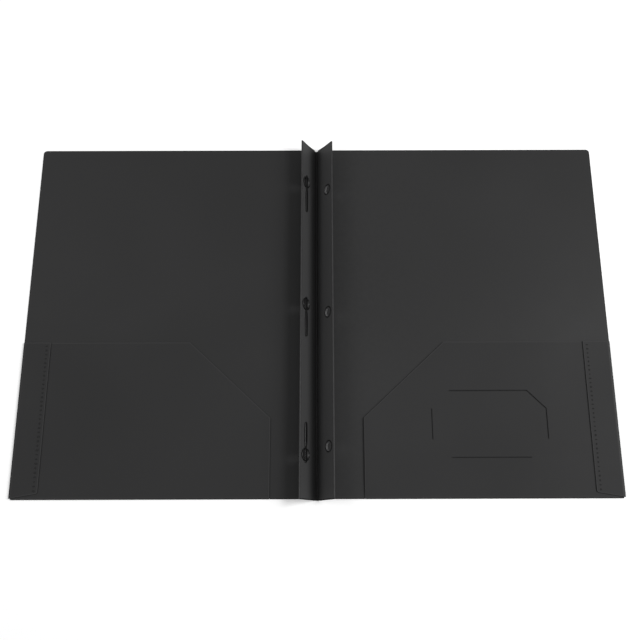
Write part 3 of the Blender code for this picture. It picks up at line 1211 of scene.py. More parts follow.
@dataclass
class Half:
    """One half of the open folder: the cover, the pocket, the side flap and its welds.

    Attributes:
        side: Its side of the spine.
        finishes: The folder's materials.
        cover_band: How wide the darker band along the cover's cuts is.
        pocket_band: How wide the painted highlight along the cuts of the pocket and the side flap is.
        slit_band: How wide the band of painted shade beside a slit is.
        slit_marks: How much band paint and rim paint it takes there; the rim paint there is painted shade.
        painted_spine_light: How much painted light lightens the right cover beside the spine.
        painted_spine_light_reach: How far out over the cover that fades.
        edge_shade_share: The share of an outer fold's turn that is painted dark, as painted shade at the
            folder's edge.
        edge_shade_fade: The share of the turn over which that ends.
        flap_step: The length of a face across the side flap.
        sunk: How far the left flap's inner edge is drawn down into the pocket by its welds.
        sunk_reach: How far from that edge this fades.
    """

    side: Side
    finishes: Finishes
    cover_band: float = 0.55 * MM
    pocket_band: float = 0.75 * MM
    slit_band: float = 0.60 * MM
    slit_marks: tuple[float, float] = (0.0, 0.28)
    painted_spine_light: float = 0.6
    painted_spine_light_reach: float = 55 * MM
    edge_shade_share: float = 0.84
    edge_shade_fade: float = 0.12
    flap_step: float = 2.0 * MM
    sunk: float = 0.3 * MM
    sunk_reach: float = 6 * MM

    @property
    def body(self) -> str:
        """The CAD body of this half."""
        return self.side.part("panel")

    def _over(self, point: Vector, across: float) -> Vector:
        """A point of a section that is seen along the spine."""
        x, z = point
        return Vector((self.side.value * x, across, z + WAVE.at(self.side, x, across)))

    def _along(self, point: Vector, across: float) -> Vector:
        """A point of a section that is seen across the cover."""
        y, z = point
        return Vector((self.side.value * across, y, z + WAVE.at(self.side, across, y)))

    def _painted_edge_shade(self, turn: float) -> Callable[[float], float]:
        """How much rim paint a panel takes by the distance along it, as painted shade on the outer fold of
        this length that it starts with.
        """
        return lambda along: 1 - ease((along / turn - self.edge_shade_share) / self.edge_shade_fade)

    def cover(self) -> None:
        """The cover, from its base crease to its outer edge."""
        g = GAUGE
        reach, fold = g.outer - g.base_x, g.flap_fold_edge - g.base_x
        margin = g.pocket_margin - g.seam - g.base_x
        start, top = g.near + g.pocket_fold, g.pocket_top + g.seam
        outline = rounded([
            (0.0, g.near, 0.0), (margin, g.near, 0.0), (margin, start, 0.0), (fold, start, 0.0),
            (fold, top, 0.0), (reach, top, 0.0), (reach, g.far, g.corner_radius), (0.0, g.far, 0.0),
        ])
        # Painted light: the right cover takes a paler colour beside the spine, fading outwards.
        painted_spine_light = self.painted_spine_light if self.side is Side.RIGHT else 0.0
        panel = Panel(
            self.side.part("cover_sheet"), Section((g.base_x, g.sheet / 2), 0.0, [Bend(reach)]), outline,
            self._over, joins=[(0, 0.0), (0, fold), (1, start)], band=self.cover_band,
            paler=lambda along: painted_spine_light * math.exp(-along / self.painted_spine_light_reach),
        )
        settle(panel.build(self.finishes.cover), self.body, Slot.COVER, self.side.part("cover"))

    def pocket(self) -> None:
        """The pocket front, folded up from the cover's near edge, on the right with the card's slits."""
        g = GAUGE
        turn = math.pi * (g.pocket_fold - g.sheet / 2)
        rise = turn + g.pocket_top - g.near - g.pocket_fold
        bends = [Bend(turn, -math.pi), Bend(rise - turn)]
        offset = turn - g.near - g.pocket_fold
        slant, flap = offset + g.near + g.pocket_slant_start, g.flap_fold_edge - g.seam
        outline = rounded([
            (0.0, g.pocket_margin, 0.0), (slant, g.pocket_margin, g.pocket_corner_radius),
            (rise, g.pocket_slant_end, g.pocket_corner_radius), (rise, flap, 0.0), (0.0, flap, 0.0),
        ])
        right, card, gape = self.side is Side.RIGHT, CardHolder(), Gape()
        panel = Panel(
            self.side.part("pocket_front"), Section((g.near + g.pocket_fold, g.sheet / 2), math.pi, bends),
            outline, self._along, card.outlines(offset) if right else (), [(0, 0.0)],
            lift=lambda along, across: (
                card.rise(across, along - offset) + gape.at(along - turn, across) if right else 0.0
            ),
            band=self.pocket_band, hole_band=self.slit_band, hole_marks=self.slit_marks,
            # Painted shade: the outer fold is painted dark where it is the folder's edge.
            turned=self._painted_edge_shade(turn),
        )
        settle(panel.build(self.finishes.pocket), self.body, Slot.POCKET, self.side.part("pocket"))

    def side_flap(self) -> None:
        """The side flap, folded in over the pocket from the cover's outer edge."""
        g = GAUGE
        turn = math.pi * (g.flap_fold - g.sheet / 2)
        reach = turn + g.flap_fold_edge - g.flap_inner
        bends = [Bend(turn, math.pi), Bend(reach - turn)]
        foot = g.near + g.flap_mitre_outer
        outline = rounded([
            (0.0, foot, 0.0), (turn, foot, 0.0), (reach, g.near + g.flap_mitre_inner, g.flap_corner_radius),
            (reach, g.pocket_top, 0.0), (0.0, g.pocket_top, 0.0),
        ])
        sunk = self.sunk if self.side is Side.LEFT else 0.0
        panel = Panel(
            self.side.part("side_flap_sheet"), Section((g.flap_fold_edge, g.sheet / 2), 0.0, bends), outline,
            self._over, joins=[(0, 0.0)], step_along=self.flap_step, band=self.pocket_band,
            # Painted shade: the outer fold is painted dark where it is the folder's edge.
            turned=self._painted_edge_shade(turn),
            lift=lambda along, across: -sunk * math.exp(-(((reach - along) / self.sunk_reach) ** 2)),
        )
        piece = panel.build(self.finishes.flaps[self.side])
        settle(piece, self.body, Slot.POCKET, self.side.part("side_flap"))

    def welds(self) -> None:
        """The spot welds: small craters with a raised rim, made on their points by geometry nodes."""
        line, g = WeldLine(), GAUGE
        place = Vector((g.flap_inner + line.inset, g.flap_face))
        first, last = g.near + line.first, g.pocket_top - line.last
        rows = [first + (last - first) * i / (line.count - 1) for i in range(line.count)]
        piece = grown(self.side.part("weld_dots"), weld_tree(), [self._over(place, y) for y in rows], {
            "Radius": line.radius, "Rim": line.rim, "Sink": line.sink, "Smallest": line.smallest,
            "Largest": line.largest, "Seed": line.seed + self.side.value,
            "Material": self.finishes.welds[self.side],
        })
        settle(piece, self.body, Slot.POCKET)

    def build(self) -> None:
        """Makes the half's pieces."""
        self.cover()
        self.pocket()
        self.side_flap()
        self.welds()


# Geometry trees


def weld_tree() -> bpy.types.NodeTree:
    """The tree that puts a small melted crater on each point, none quite like the next.

    Returns:
        The geometry tree.
    """
    wires, given, gives = new_group(
        "weld craters", "GeometryNodeTree",
        {
            "Geometry": "NodeSocketGeometry", "Radius": 0.6 * MM, "Rim": 0.1 * MM, "Sink": 0.05 * MM,
            "Smallest": "NodeSocketVector", "Largest": "NodeSocketVector", "Seed": "NodeSocketInt",
            "Material": "NodeSocketMaterial",
        },
        ("Geometry",), "NodeSocketGeometry",
    )
    ball = wires.add("GeometryNodeMeshUVSphere", {"Segments": 16, "Rings": 10, "Radius": given["Radius"]})
    place = wires.add("GeometryNodeInputPosition").outputs[0]
    parts = wires.add("ShaderNodeSeparateXYZ", {0: place}).outputs
    squares = [wires.math("MULTIPLY", parts[i], parts[i]) for i in (0, 1)]
    share = wires.math("DIVIDE", wires.math("SQRT", wires.math("ADD", *squares)), given["Radius"])
    swell = wires.math("MULTIPLY", wires.math("SINE", wires.math("MULTIPLY", share, math.pi)), given["Rim"])
    sign = wires.math("SIGN", parts[2])
    top = wires.math("MAXIMUM", sign, 0.0)
    foot = wires.math("MAXIMUM", wires.math("MULTIPLY", sign, -1.0), 0.0)
    above, below = wires.math("MULTIPLY", swell, top), wires.math("MULTIPLY", given["Sink"], foot)
    height = wires.math("SUBTRACT", above, below)
    lifted = wires.add("ShaderNodeCombineXYZ", {0: parts[0], 1: parts[1], 2: height}).outputs[0]
    crater = wires.add("GeometryNodeSetPosition", {"Geometry": ball.outputs["Mesh"], "Position": lifted})
    spread = {"Min": given["Smallest"], "Max": given["Largest"], "Seed": given["Seed"]}
    size = wires.add("FunctionNodeRandomValue", spread, data_type="FLOAT_VECTOR")
    dots = wires.add("GeometryNodeInstanceOnPoints", {
        "Points": given["Geometry"], "Instance": crater.outputs[0], "Scale": size.outputs[0],
    })
    real = wires.add("GeometryNodeRealizeInstances", {0: dots.outputs[0]})
    smooth = wires.add("GeometryNodeSetShadeSmooth", {0: real.outputs[0]}).outputs[0]
    dressed = wires.add("GeometryNodeSetMaterial", {"Geometry": smooth, "Material": given["Material"]})
    wires.feed(dressed.outputs[0], gives["Geometry"])
    return wires.tree


def crease_tree() -> bpy.types.NodeTree:
    """The tree that rolls a strip of the sheet round the axis of a fold that runs along the spine.

    Returns:
        The geometry tree.
    """
    wires, given, gives = new_group(
        "rolled crease", "GeometryNodeTree",
        {
            "Geometry": "NodeSocketGeometry", "Axis": "NodeSocketVector", "Radius": 1.0 * MM, "Start": 0.0,
            "Sweep": 1.0, "Sheet": 0.5 * MM, "Near": -0.1, "Far": 0.1, "Steps": "NodeSocketInt",
            "Material": "NodeSocketMaterial",
        },
        ("Geometry",), "NodeSocketGeometry",
    )
    path = wires.add("GeometryNodeCurveArc", {
        "Resolution": given["Steps"], "Radius": given["Radius"], "Start Angle": given["Start"],
        "Sweep Angle": given["Sweep"],
    })
    upright = wires.add("GeometryNodeSetCurveNormal", {"Curve": path.outputs[0]}, mode="Z_UP")
    length = wires.math("SUBTRACT", given["Far"], given["Near"])
    strip = wires.add("GeometryNodeCurvePrimitiveQuadrilateral", {"Width": given["Sheet"], "Height": length})
    swept = wires.add("GeometryNodeCurveToMesh", {
        "Curve": upright.outputs[0], "Profile Curve": strip.outputs[0], "Fill Caps": True,
    })
    middle = wires.math("MULTIPLY", wires.math("ADD", given["Far"], given["Near"]), 0.5)
    along = wires.add("ShaderNodeCombineXYZ", {1: middle})
    shift = wires.add("ShaderNodeVectorMath", {0: given["Axis"], 1: along.outputs[0]}, operation="ADD")
    placed = wires.add("GeometryNodeTransform", {
        "Geometry": swept.outputs[0], "Translation": shift.outputs[0], "Rotation": (math.pi / 2, 0.0, 0.0),
    })
    real = wires.add("GeometryNodeRealizeInstances", {0: placed.outputs[0]}).outputs[0]
    dressed = wires.add("GeometryNodeSetMaterial", {"Geometry": real, "Material": given["Material"]})
    wires.feed(dressed.outputs[0], gives["Geometry"])
    return wires.tree


def grown(
    name: str, tree: bpy.types.NodeTree, points: Sequence[Vector], inputs: dict[str, Any]
) -> bpy.types.Object:
    """Runs a geometry tree on some points, and keeps what it makes as a plain mesh.

    Args:
        name: The new piece's name.
        tree: The geometry tree.
        points: The points that the tree starts from.
        inputs: The tree's named inputs, of which the material is the piece's finish too.

    Returns:
        The piece.
    """
    mesh = bpy.data.meshes.new(f"{name}_points")
    mesh.from_pydata([tuple(p) for p in points], [], [])
    guide = link(f"{name}_guide", mesh, inputs["Material"])
    step = guide.modifiers.new("grow", "NODES")
    step.node_group = tree
    for socket in tree.interface.items_tree:
        if socket.item_type == "SOCKET" and socket.in_out == "INPUT" and socket.name in inputs:
            step[socket.identifier] = inputs[socket.name]
    guide.update_tag()
    bpy.context.view_layer.update()
    seen = guide.evaluated_get(bpy.context.evaluated_depsgraph_get())
    made = bpy.data.meshes.new_from_object(seen)
    guide.modifiers.remove(step)
    bpy.data.objects.remove(guide, do_unlink=True)
    return link(name, made, inputs["Material"])


# The gusset


def fin_point(side: Side, up: float, out: float, y: float) -> Vector:
    """A place on a fin as it really stands.

    Args:
        side: The fin's side.
        up: The distance up its slant from the valley's axis.
        out: The distance out from that axis towards the cover.
        y: The place along the spine.

    Returns:
        The point in space.
    """
    sine, cosine = math.sin(GAUGE.fin_lean), math.cos(GAUGE.fin_lean)
    reach = up * sine + out * cosine + FIN_BEND.at(side, up, y)
    return Vector((side.value * reach, y, GAUGE.valley_height + up * cosine - out * sine))


@dataclass(frozen=True)
class FinPlan:
    """How one fin is cut, and where painted shade darkens it.

    Attributes:
        hole_diameter: The diameter of its holes.
        hole_places: Their places along the spine.
        hole_band: How wide the band of painted shade round them is.
        ridge_cut: How far the far end of its ridge is cut back.
        valley_shade: How dark its inner wall is painted at its foot, as painted shade in the valley, up to 1.
        valley_shade_low: How far up the wall it is as dark as that.
        valley_shade_high: How far up the painted shade ends.
    """

    hole_diameter: float
    hole_places: Sequence[float]
    hole_band: float
    ridge_cut: float
    valley_shade: float
    valley_shade_low: float
    valley_shade_high: float

    def painted_valley_shade(self, up: float) -> float:
        """How dark the painted shade makes the inner wall at a distance up from its foot."""
        return self.valley_shade * (1 - ease((up - self.valley_shade_low) / (self.valley_shade_high - self.valley_shade_low)))


@dataclass
class Gusset:
    """The spine's gusset: two fins, the valley crease between them and a base crease at the foot of each.

    Attributes:
        finishes: The folder's materials.
        plans: How each fin is cut, and where painted shade darkens it.
        hole_height: How far up the slant the holes lie.
        valley_cut: How far the far end of the valley is cut back.
        step_along: The length of a face along a fin's section.
        rim: How far a fin's cut edges are rounded.
        band: How wide the darker band along a fin's outline is.
        dark_ends: How far from a fin's ends its cut edges stay dark.
        crease_points: The points across a crease's curve.
    """

    finishes: Finishes
    plans: dict[Side, FinPlan]
    hole_height: float
    valley_cut: float = 1.7 * MM
    step_along: float = 1.5 * MM
    rim: float = 0.12 * MM
    band: float = 1.0 * MM
    dark_ends: float = 4 * MM
    crease_points: int = 17

    def fin(self, side: Side) -> None:
        """A fin: one sheet up its outer wall, over the ridge and down its inner wall.

        Args:
            side: The fin's side.
        """
        g, plan = GAUGE, self.plans[side]
        turn = math.pi * g.ridge_radius
        outer_run, inner_run = g.wall_top - g.base_up, g.wall_top
        over = outer_run + turn
        total = over + inner_run
        ridge_far = g.far - plan.ridge_cut
        bends = [Bend(outer_run), Bend(turn, -math.pi), Bend(inner_run)]
        outline = [
            (0.0, g.fin_near), (total, g.fin_near), (total, g.far - self.valley_cut),
            (over, ridge_far), (outer_run, ridge_far), (0.0, g.far),
        ]
        rows = (self.hole_height - g.base_up, over + g.wall_top - self.hole_height)
        panel = Panel(
            side.part("fin_sheet"), Section((g.base_up, g.outer_wall), 0.0, bends), outline,
            lambda p, y: fin_point(side, p.x, p.y, y),
            [ring((row, y), plan.hole_diameter / 2) for y in plan.hole_places for row in rows],
            [(0, 0.0), (0, total)], step_along=self.step_along, rim=self.rim, band=self.band,
            hole_band=plan.hole_band, dark_ends=self.dark_ends,
            # Painted shade: the inner wall is painted darker towards the valley.
            painted_valley_shade=lambda along: plan.painted_valley_shade(total - along),
        )
        nodes = [side.part(f"fin_{wall}") for wall in ("inner_wall", "outer_wall", "ridge")]
        settle(panel.build(self.finishes.fin), side.part("fin"), Slot.FIN, *nodes)

    def _crease(
        self, name: str, axis: Point, radius: float, sweep: Point, ends: Point, finish: bpy.types.Material
    ) -> bpy.types.Object:
        """A strip of the sheet rolled round a fold's axis.

        Args:
            name: The piece's name.
            axis: The axis's X and Z.
            radius: The radius at the sheet's middle.
            sweep: The angles that the strip starts and ends at, in degrees.
            ends: Where its near end and its far end lie.
            finish: Its material.

        Returns:
            The strip.
        """
        start, end = (math.radians(angle) for angle in sweep)
        piece = grown(name, crease_tree(), [], {
            "Axis": (axis[0], 0.0, axis[1]), "Radius": radius, "Start": start, "Sweep": end - start,
            "Sheet": GAUGE.sheet, "Near": ends[0], "Far": ends[1], "Steps": self.crease_points,
            "Material": finish,
        })
        mesh = piece.data
        shape = bmesh.new()
        shape.from_mesh(mesh)
        bmesh.ops.remove_doubles(shape, verts=shape.verts, dist=TOUCH)
        bmesh.ops.recalc_face_normals(shape, faces=shape.faces)
        shape.to_mesh(mesh)
        shape.free()
        folded = mesh.attributes.new("folded", "FLOAT", "POINT")
        folded.data.foreach_set("value", [1.0] * len(mesh.vertices))
        mesh.shade_smooth()
        mesh.set_sharp_from_angle(angle=SHARP_SHEET)
        return piece

    def base_crease(self, side: Side) -> None:
        """The living hinge between a cover and its fin.

        Args:
            side: The side of the cover and the fin.
        """
        g, sign = GAUGE, side.value
        lean = math.degrees(g.fin_lean)
        sweep = (270.0, 180.0 - lean) if side is Side.RIGHT else (270.0, 360.0 + lean)
        axis = (sign * g.base_x, g.base_height)
        name = side.part("base_crease")
        piece = self._crease(name, axis, g.base_radius, sweep, (g.near, g.far), self.finishes.fin)
        low = (sign * g.base_x, 0.0, g.base_height - g.base_radius)
        high = fin_point(side, g.base_up, g.outer_wall, 0.0)
        hinge(piece, (side.part("panel"), side.part("fin")), (low, (high.x, 0.0, high.z)), Slot.FIN)

    def valley(self) -> None:
        """The fold between the two fins."""
        g = GAUGE
        lean = math.degrees(g.fin_lean)
        axis, sweep = (0.0, g.valley_height), (180.0 + lean, 360.0 - lean)
        ends = (g.fin_near, g.far - self.valley_cut)
        piece = self._crease("valley_fold", axis, g.inner_wall, sweep, ends, self.finishes.crease)
        reach = g.inner_wall * math.cos(g.fin_lean)
        ends = ((reach, 0.0, 0.0), (-reach, 0.0, 0.0))
        hinge(piece, ("right_fin", "left_fin"), ends, Slot.FIN, "valley_crease")

    def build(self) -> None:
        """Makes the gusset's pieces."""
        for side in Side:
            self.fin(side)
            self.base_crease(side)
        self.valley()


# The fasteners


def shares(steps: int) -> list[float]:
    """The shares from 0 to 1 in so many even steps."""
    return [i / steps for i in range(steps + 1)]


def skinned(name: str, rings: Sequence[Sequence[Vector]], closed: bool) -> bpy.types.Mesh:
    """The mesh of a closed body through rings of points.

    Args:
        name: The mesh's name.
        rings: The rings, all with as many points.
        closed: Whether the last ring meets the first, as round a torus. If not, the ends are filled.

    Returns:
        The mesh.
    """
    shape = bmesh.new()
    loops = [[shape.verts.new(p) for p in points] for points in rings]
    pairs = list(zip(loops, loops[1:]))
    if closed:
        pairs.append((loops[-1], loops[0]))
    else:
        shape.faces.new(loops[0])
        shape.faces.new(loops[-1])
    for low, high in pairs:
        for i in range(len(low)):
            shape.faces.new((low[i - 1], low[i], high[i], high[i - 1]))
    bmesh.ops.recalc_face_normals(shape, faces=shape.faces)
    mesh = bpy.data.meshes.new(name)
    shape.to_mesh(mesh)
    shape.free()
    return mesh


@dataclass
class Fastener:
    """One prong fastener in the left fin: its eyelet and bar, and the prong with its living hinge.

    Attributes:
        label: Its name along the spine.
        steps: How many hole spacings it lies from the middle one, towards the far end.
        way: The side of its bend that its eyelet is on, 1 for the far side.
        finishes: The folder's materials.
        spacing: The distance from one bend to the next.
        height: How far up the fin's slant it lies.
        middle_from_near: How far the middle one's bend lies from the near edge.
        nip: The radius of the eyelet's thin edges.
        face_round: The radius of its flange's outer edge.
        mouth_round: The radius of its bore's edge.
        bend_from_flange: How far the bend lies beside the flange.
        stub: How far the bar stands out past the flange.
        bar_gap: The space between the bar and the prong when it stands up.
        bar_blunting: The share of its width that the bar loses at its very ends.
        near_prong_cut: How much shorter the near prong is.
        widening: How far from its bend the prong reaches its full width.
        taper: How far from there it reaches its tip's width.
        thinning: How much its face loses of its thickness at its bend.
        thin_back: The share of that which its back loses.
        thin_reach: How far from its bend the thinning ends.
        tip_flat: The square of the share of its width that the tip ends with.
        crowding: How much closer the prong's rings stand at its tip, where 1 is evenly.
        corner: The share of its half thickness by which a strip's edges are rounded.
        corner_steps: The flats in each rounded edge.
        ring_sides: The flats round the eyelet.
        bar_rings: The steps along the bar.
        prong_rings: The steps along the prong.
        hinge_rings: The steps along the hinge.
        hinge_half: Half the hinge's thickness.
        hinge_waist: The share of its width that the hinge loses in its middle.
        hinge_start: How far inside the bar the hinge starts.
        hinge_end: How far past the bend it ends, in the prong.
        bending: Where its bending starts and ends, along the spine from the bend.
        clearance: The play of the eyelet's tube in its hole.
        hole_diameter: The diameter of the hole across from its bend, in the right fin.
    """

    label: str
    steps: int
    way: int
    finishes: Finishes
    spacing: float = 107.95 * MM
    height: float = 15.2 * MM
    middle_from_near: float = 147.0 * MM
    flange_radius: float = 5.0 * MM
    flange_thickness: float = 0.6 * MM
    tube_radius: float = 4.5 * MM
    bore_radius: float = 4.0 * MM
    nip: float = 0.12 * MM
    face_round: float = 0.28 * MM
    mouth_round: float = 0.22 * MM
    bend_from_flange: float = 1.5 * MM
    stub: float = 1.2 * MM
    bar_gap: float = 0.55 * MM
    bar_width: float = 2.6 * MM
    bar_thickness: float = 0.5 * MM
    bar_blunting: float = 0.45
    prong_length: float = 20.5 * MM
    near_prong_cut: float = 1.8 * MM
    prong_width: float = 3.2 * MM
    prong_neck: float = 2.3 * MM
    prong_tip: float = 2.6 * MM
    prong_thickness: float = 0.8 * MM
    widening: float = 7 * MM
    taper: float = 12 * MM
    thinning: float = 0.18 * MM
    thin_back: float = 0.6
    thin_reach: float = 2.2 * MM
    tip_flat: float = 0.02
    crowding: float = 1.35
    corner: float = 0.7
    corner_steps: int = 3
    ring_sides: int = 64
    bar_rings: int = 12
    prong_rings: int = 28
    hinge_rings: int = 10
    hinge_half: float = 0.16 * MM
    hinge_waist: float = 0.12
    hinge_start: float = 0.15 * MM
    hinge_end: float = 0.25 * MM
    bending: Point = (0.75 * MM, -0.1 * MM)
    clearance: float = 0.6 * MM
    hole_diameter: float = 7.2 * MM

    @property
    def bend(self) -> float:
        """The bend's place along the spine."""
        return GAUGE.near + self.middle_from_near + self.steps * self.spacing

    @property
    def eyelet(self) -> float:
        """The place of the eyelet's middle along the spine."""
        return self.bend + self.way * (self.flange_radius + self.bend_from_flange)

    @property
    def seat(self) -> float:
        """How far out from the valley's axis the fastener's back lies, a seam off the fin's inner wall."""
        return GAUGE.valley_radius - GAUGE.seam

    def _strip(self, stations: Sequence[Station]) -> list[list[Vector]]:
        """The rings of a strip along the fin with rounded sides.

        Args:
            stations: The strip's place along the spine, half width, lowest and highest out at each ring.

        Returns:
            The rings.
        """
        rings, quarter = [], shares(self.corner_steps)
        for y, half, low, high in stations:
            thick = (high - low) / 2
            corner = min(thick, half) * self.corner
            points = []
            for sign_up, sign_out in ((1, 1), (1, -1), (-1, -1), (-1, 1)):
                for share in quarter if sign_up * sign_out > 0 else reversed(quarter):
                    angle = math.pi / 2 * share
                    up = self.height + sign_up * (half - corner + corner * math.sin(angle))
                    out = (low + high) / 2 + sign_out * (thick - corner + corner * math.cos(angle))
                    points.append(fin_point(Side.LEFT, up, out, y))
            rings.append(points)
        return rings

    def _ring(self) -> bpy.types.Mesh:
        """Turns the eyelet: its rounded flange and its tube.

        Returns:
            The mesh.
        """
        face, back = self.seat - self.flange_thickness, GAUGE.outer_wall + GAUGE.sheet / 2
        bore, tube, flange = self.bore_radius, self.tube_radius, self.flange_radius
        profile = rounded([
            (bore, back, self.nip), (tube, back, self.nip), (tube, self.seat, 0.0),
            (flange, self.seat, self.nip), (flange, face, self.face_round), (bore, face, self.mouth_round),
        ], steps=4)
        turns = (math.tau * step / self.ring_sides for step in range(self.ring_sides))
        return skinned(f"ring_{self.label}", [
            [
                fin_point(Side.LEFT, self.height + r * math.sin(t), out, self.eyelet + r * math.cos(t))
                for r, out in profile
            ]
            for t in turns
        ], closed=True)

    def _bar(self) -> bpy.types.Mesh:
        """Makes the bar across the eyelet, with its stub.

        Returns:
            The mesh.
        """
        middle = self.seat - self.flange_thickness / 2
        low, high = middle - self.bar_thickness / 2, middle + self.bar_thickness / 2
        start = self.bend + self.way * (self.prong_thickness / 2 + self.bar_gap)
        end = self.eyelet + self.way * (self.flange_radius + self.stub)
        stations = []
        for share in shares(self.bar_rings):
            blunt = 1 - self.bar_blunting * (2 * share - 1) ** 8
            stations.append((start + (end - start) * share, self.bar_width / 2 * blunt, low, high))
        return skinned(f"bar_{self.label}", self._strip(stations), closed=False)

    def eyelet_piece(self) -> None:
        """The eyelet with its rounded flange and tube, and the bar across it with its stub."""
        ring_part = link(f"ring_{self.label}", self._ring(), self.finishes.moulded)
        bar_part = link(f"bar_{self.label}", self._bar(), self.finishes.moulded)
        join = ring_part.modifiers.new("bar", "BOOLEAN")
        join.operation = "UNION"
        join.solver = "EXACT"
        join.object = bar_part
        bpy.context.view_layer.update()
        seen = ring_part.evaluated_get(bpy.context.evaluated_depsgraph_get())
        whole = bpy.data.meshes.new_from_object(seen)
        for part in (ring_part, bar_part):
            part.modifiers.clear()
            bpy.data.objects.remove(part, do_unlink=True)
        whole.shade_smooth()
        whole.set_sharp_from_angle(angle=SHARP_EYELET)
        piece = link(f"eyelet_{self.label}", whole, self.finishes.moulded)
        settle(piece, "left_fin", Slot.FASTENER, f"fastener_base_{self.label}")

    def prong_piece(self) -> None:
        """The prong: a strip with a narrow, thinned neck at its bend, and a rounded tip."""
        low, high = self.seat - self.prong_thickness, self.seat
        length = self.prong_length - (self.near_prong_cut if self.way < 0 else 0.0)
        neck, full, tip = self.prong_neck / 2, self.prong_width / 2, self.prong_tip / 2
        stations = []
        for share in shares(self.prong_rings):
            run = length * (1 - (1 - share) ** self.crowding)
            left = length - run
            half = neck + (full - neck) * ease(run / self.widening)
            half += (tip - full) * ease((run - self.widening) / self.taper)
            if left < tip:
                half *= math.sqrt(max(1 - ((tip - left) / tip) ** 2, self.tip_flat))
            thin = self.thinning * (1 - ease(run / self.thin_reach))
            stations.append((self.bend - self.way * run, half, low + thin, high - thin * self.thin_back))
        mesh = skinned(f"prong_{self.label}_strip", self._strip(stations), closed=False)
        mesh.shade_smooth()
        mesh.set_sharp_from_angle(angle=SHARP_PRONG)
        piece = link(f"prong_{self.label}_strip", mesh, self.finishes.moulded)
        settle(piece, f"prong_{self.label}", Slot.FASTENER, f"prong_{self.label}")

    def hinge_piece(self) -> None:
        """The thin strip between the bar and the prong."""
        start = self.bend + self.way * (self.prong_thickness / 2 + self.bar_gap + self.hinge_start)
        end = self.bend - self.way * self.hinge_end
        middle = self.seat - self.prong_thickness / 2
        low, high = middle - self.hinge_half, middle + self.hinge_half
        stations = []
        for share in shares(self.hinge_rings):
            half = self.prong_neck / 2 * (1 - self.hinge_waist * math.sin(math.pi * share))
            stations.append((start + (end - start) * share, half, low, high))
        mesh = skinned(f"prong_{self.label}_hinge", self._strip(stations), closed=False)
        mesh.shade_smooth()
        piece = link(f"prong_{self.label}_hinge", mesh, self.finishes.moulded)
        axis = fin_point(Side.LEFT, self.height, middle, self.bend)
        ends = [Vector((axis.x, self.bend + self.way * reach, axis.z)) for reach in self.bending]
        hinge(piece, ("left_fin", f"prong_{self.label}"), ends, Slot.FASTENER)

    def build(self) -> None:
        """Makes the fastener's pieces."""
        self.eyelet_piece()
        self.prong_piece()
        self.hinge_piece()


# The room


@dataclass(frozen=True)
class Softbox:
    """A round soft lamp.

    Attributes:
        name: Its name.
        share: The level at which it alone lights a level white sheet under it, where 1 is white.
        bearing: The way to it over the floor, in degrees from +X.
        elevation: How high it stands over the floor, in degrees.
        distance: Its distance from the folder.
        diameter: Its diameter.
    """

    name: str
    share: float
    bearing: float
    elevation: float
    distance: float
    diameter: float

    def build(self) -> None:
        """Hangs the lamp, turned to the folder."""
        bearing, elevation = math.radians(self.bearing), math.radians(self.elevation)
        level = math.cos(elevation)
        way = Vector((level * math.cos(bearing), level * math.sin(bearing), math.sin(elevation)))
        light = bpy.data.lights.new(self.name, "AREA")
        light.shape = "DISK"
        light.size = self.diameter
        light.energy = self.share * math.pi**2 * self.distance**2 / way.z
        lamp = bpy.data.objects.new(self.name, light)
        lamp.location = way * self.distance
        lamp.rotation_euler = (-way).to_track_quat("-Z", "Y").to_euler()
        lamp.visible_camera = False
        bpy.context.scene.collection.objects.link(lamp)


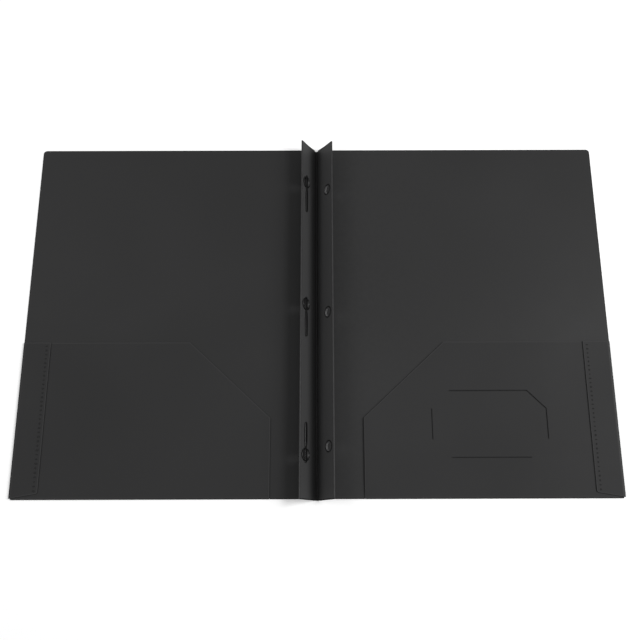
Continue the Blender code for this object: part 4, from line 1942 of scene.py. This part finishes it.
@dataclass(frozen=True)
class Studio:
    """The floor, the light and the camera.

    Attributes:
        floor_colour: The floor's colour.
        floor_roughness: Its roughness.
        floor_glow: How much brighter the camera sees it under the folder.
        glow_from: How far out that starts to rise.
        glow_to: How far out it reaches 1.
        floor_side: The floor's width.
        floor_drop: How far under the folder it lies.
        sky: The strength of the even light from all round.
        lamps: The soft lamps.
        camera_place: Where the camera stands.
        camera_elevation: How far it looks down, in degrees.
        camera_yaw: How far it is turned, in degrees.
        focal_pixels: Its focal length, in pixels of the photograph.
        frame_pixels: The photograph's width, in pixels.
        sensor: The camera's own width, in its millimetres.
    """

    floor_colour: Colour = (0.94, 0.94, 0.94)
    floor_roughness: float = 0.9
    floor_glow: float = 0.24
    glow_from: float = 0.32
    glow_to: float = 1.1
    floor_side: float = 8.0
    floor_drop: float = 0.02 * MM
    sky: float = 0.24
    lamps: tuple[Softbox, ...] = (
        Softbox("key_softbox", share=0.27, bearing=4.0, elevation=57.0, distance=1.3, diameter=0.36),
        Softbox("side_softbox", share=0.22, bearing=2.0, elevation=43.0, distance=1.3, diameter=0.60),
        Softbox("fill_softbox", share=0.22, bearing=176.0, elevation=46.0, distance=1.3, diameter=0.80),
    )
    camera_place: tuple[float, float, float] = (2.06 * MM, -191.4 * MM, 639.8 * MM)
    camera_elevation: float = 73.72
    camera_yaw: float = -0.17
    focal_pixels: float = 811.2
    frame_pixels: float = 640.0
    sensor: float = 36.0

    def floor(self) -> None:
        """A pale floor, which the camera sees a little brighter, and farther out as plain white."""
        half = self.floor_side / 2
        mesh = bpy.data.meshes.new("floor")
        corners = [(-half, -half), (half, -half), (half, half), (-half, half)]
        mesh.from_pydata([(x, y, -self.floor_drop) for x, y in corners], [], [(0, 1, 2, 3)])
        material = bpy.data.materials.new("pale_floor")
        material.use_nodes = True
        shader = material.node_tree.nodes["Principled BSDF"]
        wires = Wires(material.node_tree)
        wires.feed((*self.floor_colour, 1.0), shader.inputs["Base Color"])
        wires.feed(self.floor_roughness, shader.inputs["Roughness"])
        wires.feed(0.0, shader.inputs["Specular IOR Level"])
        wires.feed((1.0, 1.0, 1.0, 1.0), shader.inputs["Emission Color"])
        seen = wires.add("ShaderNodeLightPath").outputs["Is Camera Ray"]
        place = wires.add("ShaderNodeTexCoord").outputs["Object"]
        reach = wires.add("ShaderNodeVectorMath", {0: place}, operation="LENGTH").outputs["Value"]
        glow = wires.smooth(reach, (self.glow_from, self.glow_to), (self.floor_glow, 1.0))
        wires.feed(wires.math("MULTIPLY", seen, glow), shader.inputs["Emission Strength"])
        link("floor", mesh, material)

    def sky_light(self) -> None:
        """An even sky that lights the folder, and that the camera and reflections see as white."""
        world = bpy.data.worlds.new("studio")
        world.use_nodes = True
        wires = Wires(world.node_tree)
        background = world.node_tree.nodes["Background"]
        seen = wires.add("ShaderNodeLightPath").outputs
        shows = wires.math("MAXIMUM", seen["Is Camera Ray"], seen["Is Glossy Ray"])
        shows = wires.math("MAXIMUM", shows, seen["Is Transmission Ray"])
        strength = wires.math("MULTIPLY_ADD", shows, 1.0 - self.sky, self.sky)
        wires.feed((1.0, 1.0, 1.0, 1.0), background.inputs["Color"])
        wires.feed(strength, background.inputs["Strength"])
        bpy.context.scene.world = world

    def camera(self) -> None:
        """The camera at the photograph's view."""
        data = bpy.data.cameras.new("camera")
        data.sensor_width = self.sensor
        data.lens = self.focal_pixels / self.frame_pixels * self.sensor
        camera = bpy.data.objects.new("camera", data)
        camera.location = self.camera_place
        tilt, yaw = math.radians(90 - self.camera_elevation), math.radians(self.camera_yaw)
        camera.rotation_euler = (tilt, 0.0, yaw)
        bpy.context.scene.collection.objects.link(camera)
        bpy.context.scene.camera = camera

    def build(self) -> None:
        """Sets the room up."""
        bpy.context.scene.view_settings.view_transform = "Standard"
        self.floor()
        self.sky_light()
        for lamp in self.lamps:
            lamp.build()
        self.camera()


def main() -> None:
    """Builds the folder and its room."""
    logging.basicConfig(level=logging.INFO, format="%(name)s: %(message)s")
    Studio().build()
    finishes = Finishes()
    for side in Side:
        Half(side, finishes).build()
    spots = (("far", 1, 1), ("middle", 0, 1), ("near", -1, -1))
    fasteners = [Fastener(label, steps, way, finishes) for label, steps, way in spots]
    plans = {
        Side.LEFT: FinPlan(
            hole_diameter=2 * Fastener.tube_radius + Fastener.clearance,
            hole_places=[fastener.eyelet for fastener in fasteners],
            hole_band=0.45 * MM, ridge_cut=0.3 * MM, valley_shade=0.86, valley_shade_low=3 * MM, valley_shade_high=14.5 * MM,
        ),
        Side.RIGHT: FinPlan(
            hole_diameter=Fastener.hole_diameter,
            hole_places=[fastener.bend for fastener in fasteners],
            hole_band=1.5 * MM, ridge_cut=1.2 * MM, valley_shade=0.30, valley_shade_low=0.0, valley_shade_high=8.5 * MM,
        ),
    }
    Gusset(finishes, plans, Fastener.height).build()
    for fastener in fasteners:
        fastener.build()


if __name__ == "__main__":
    main()
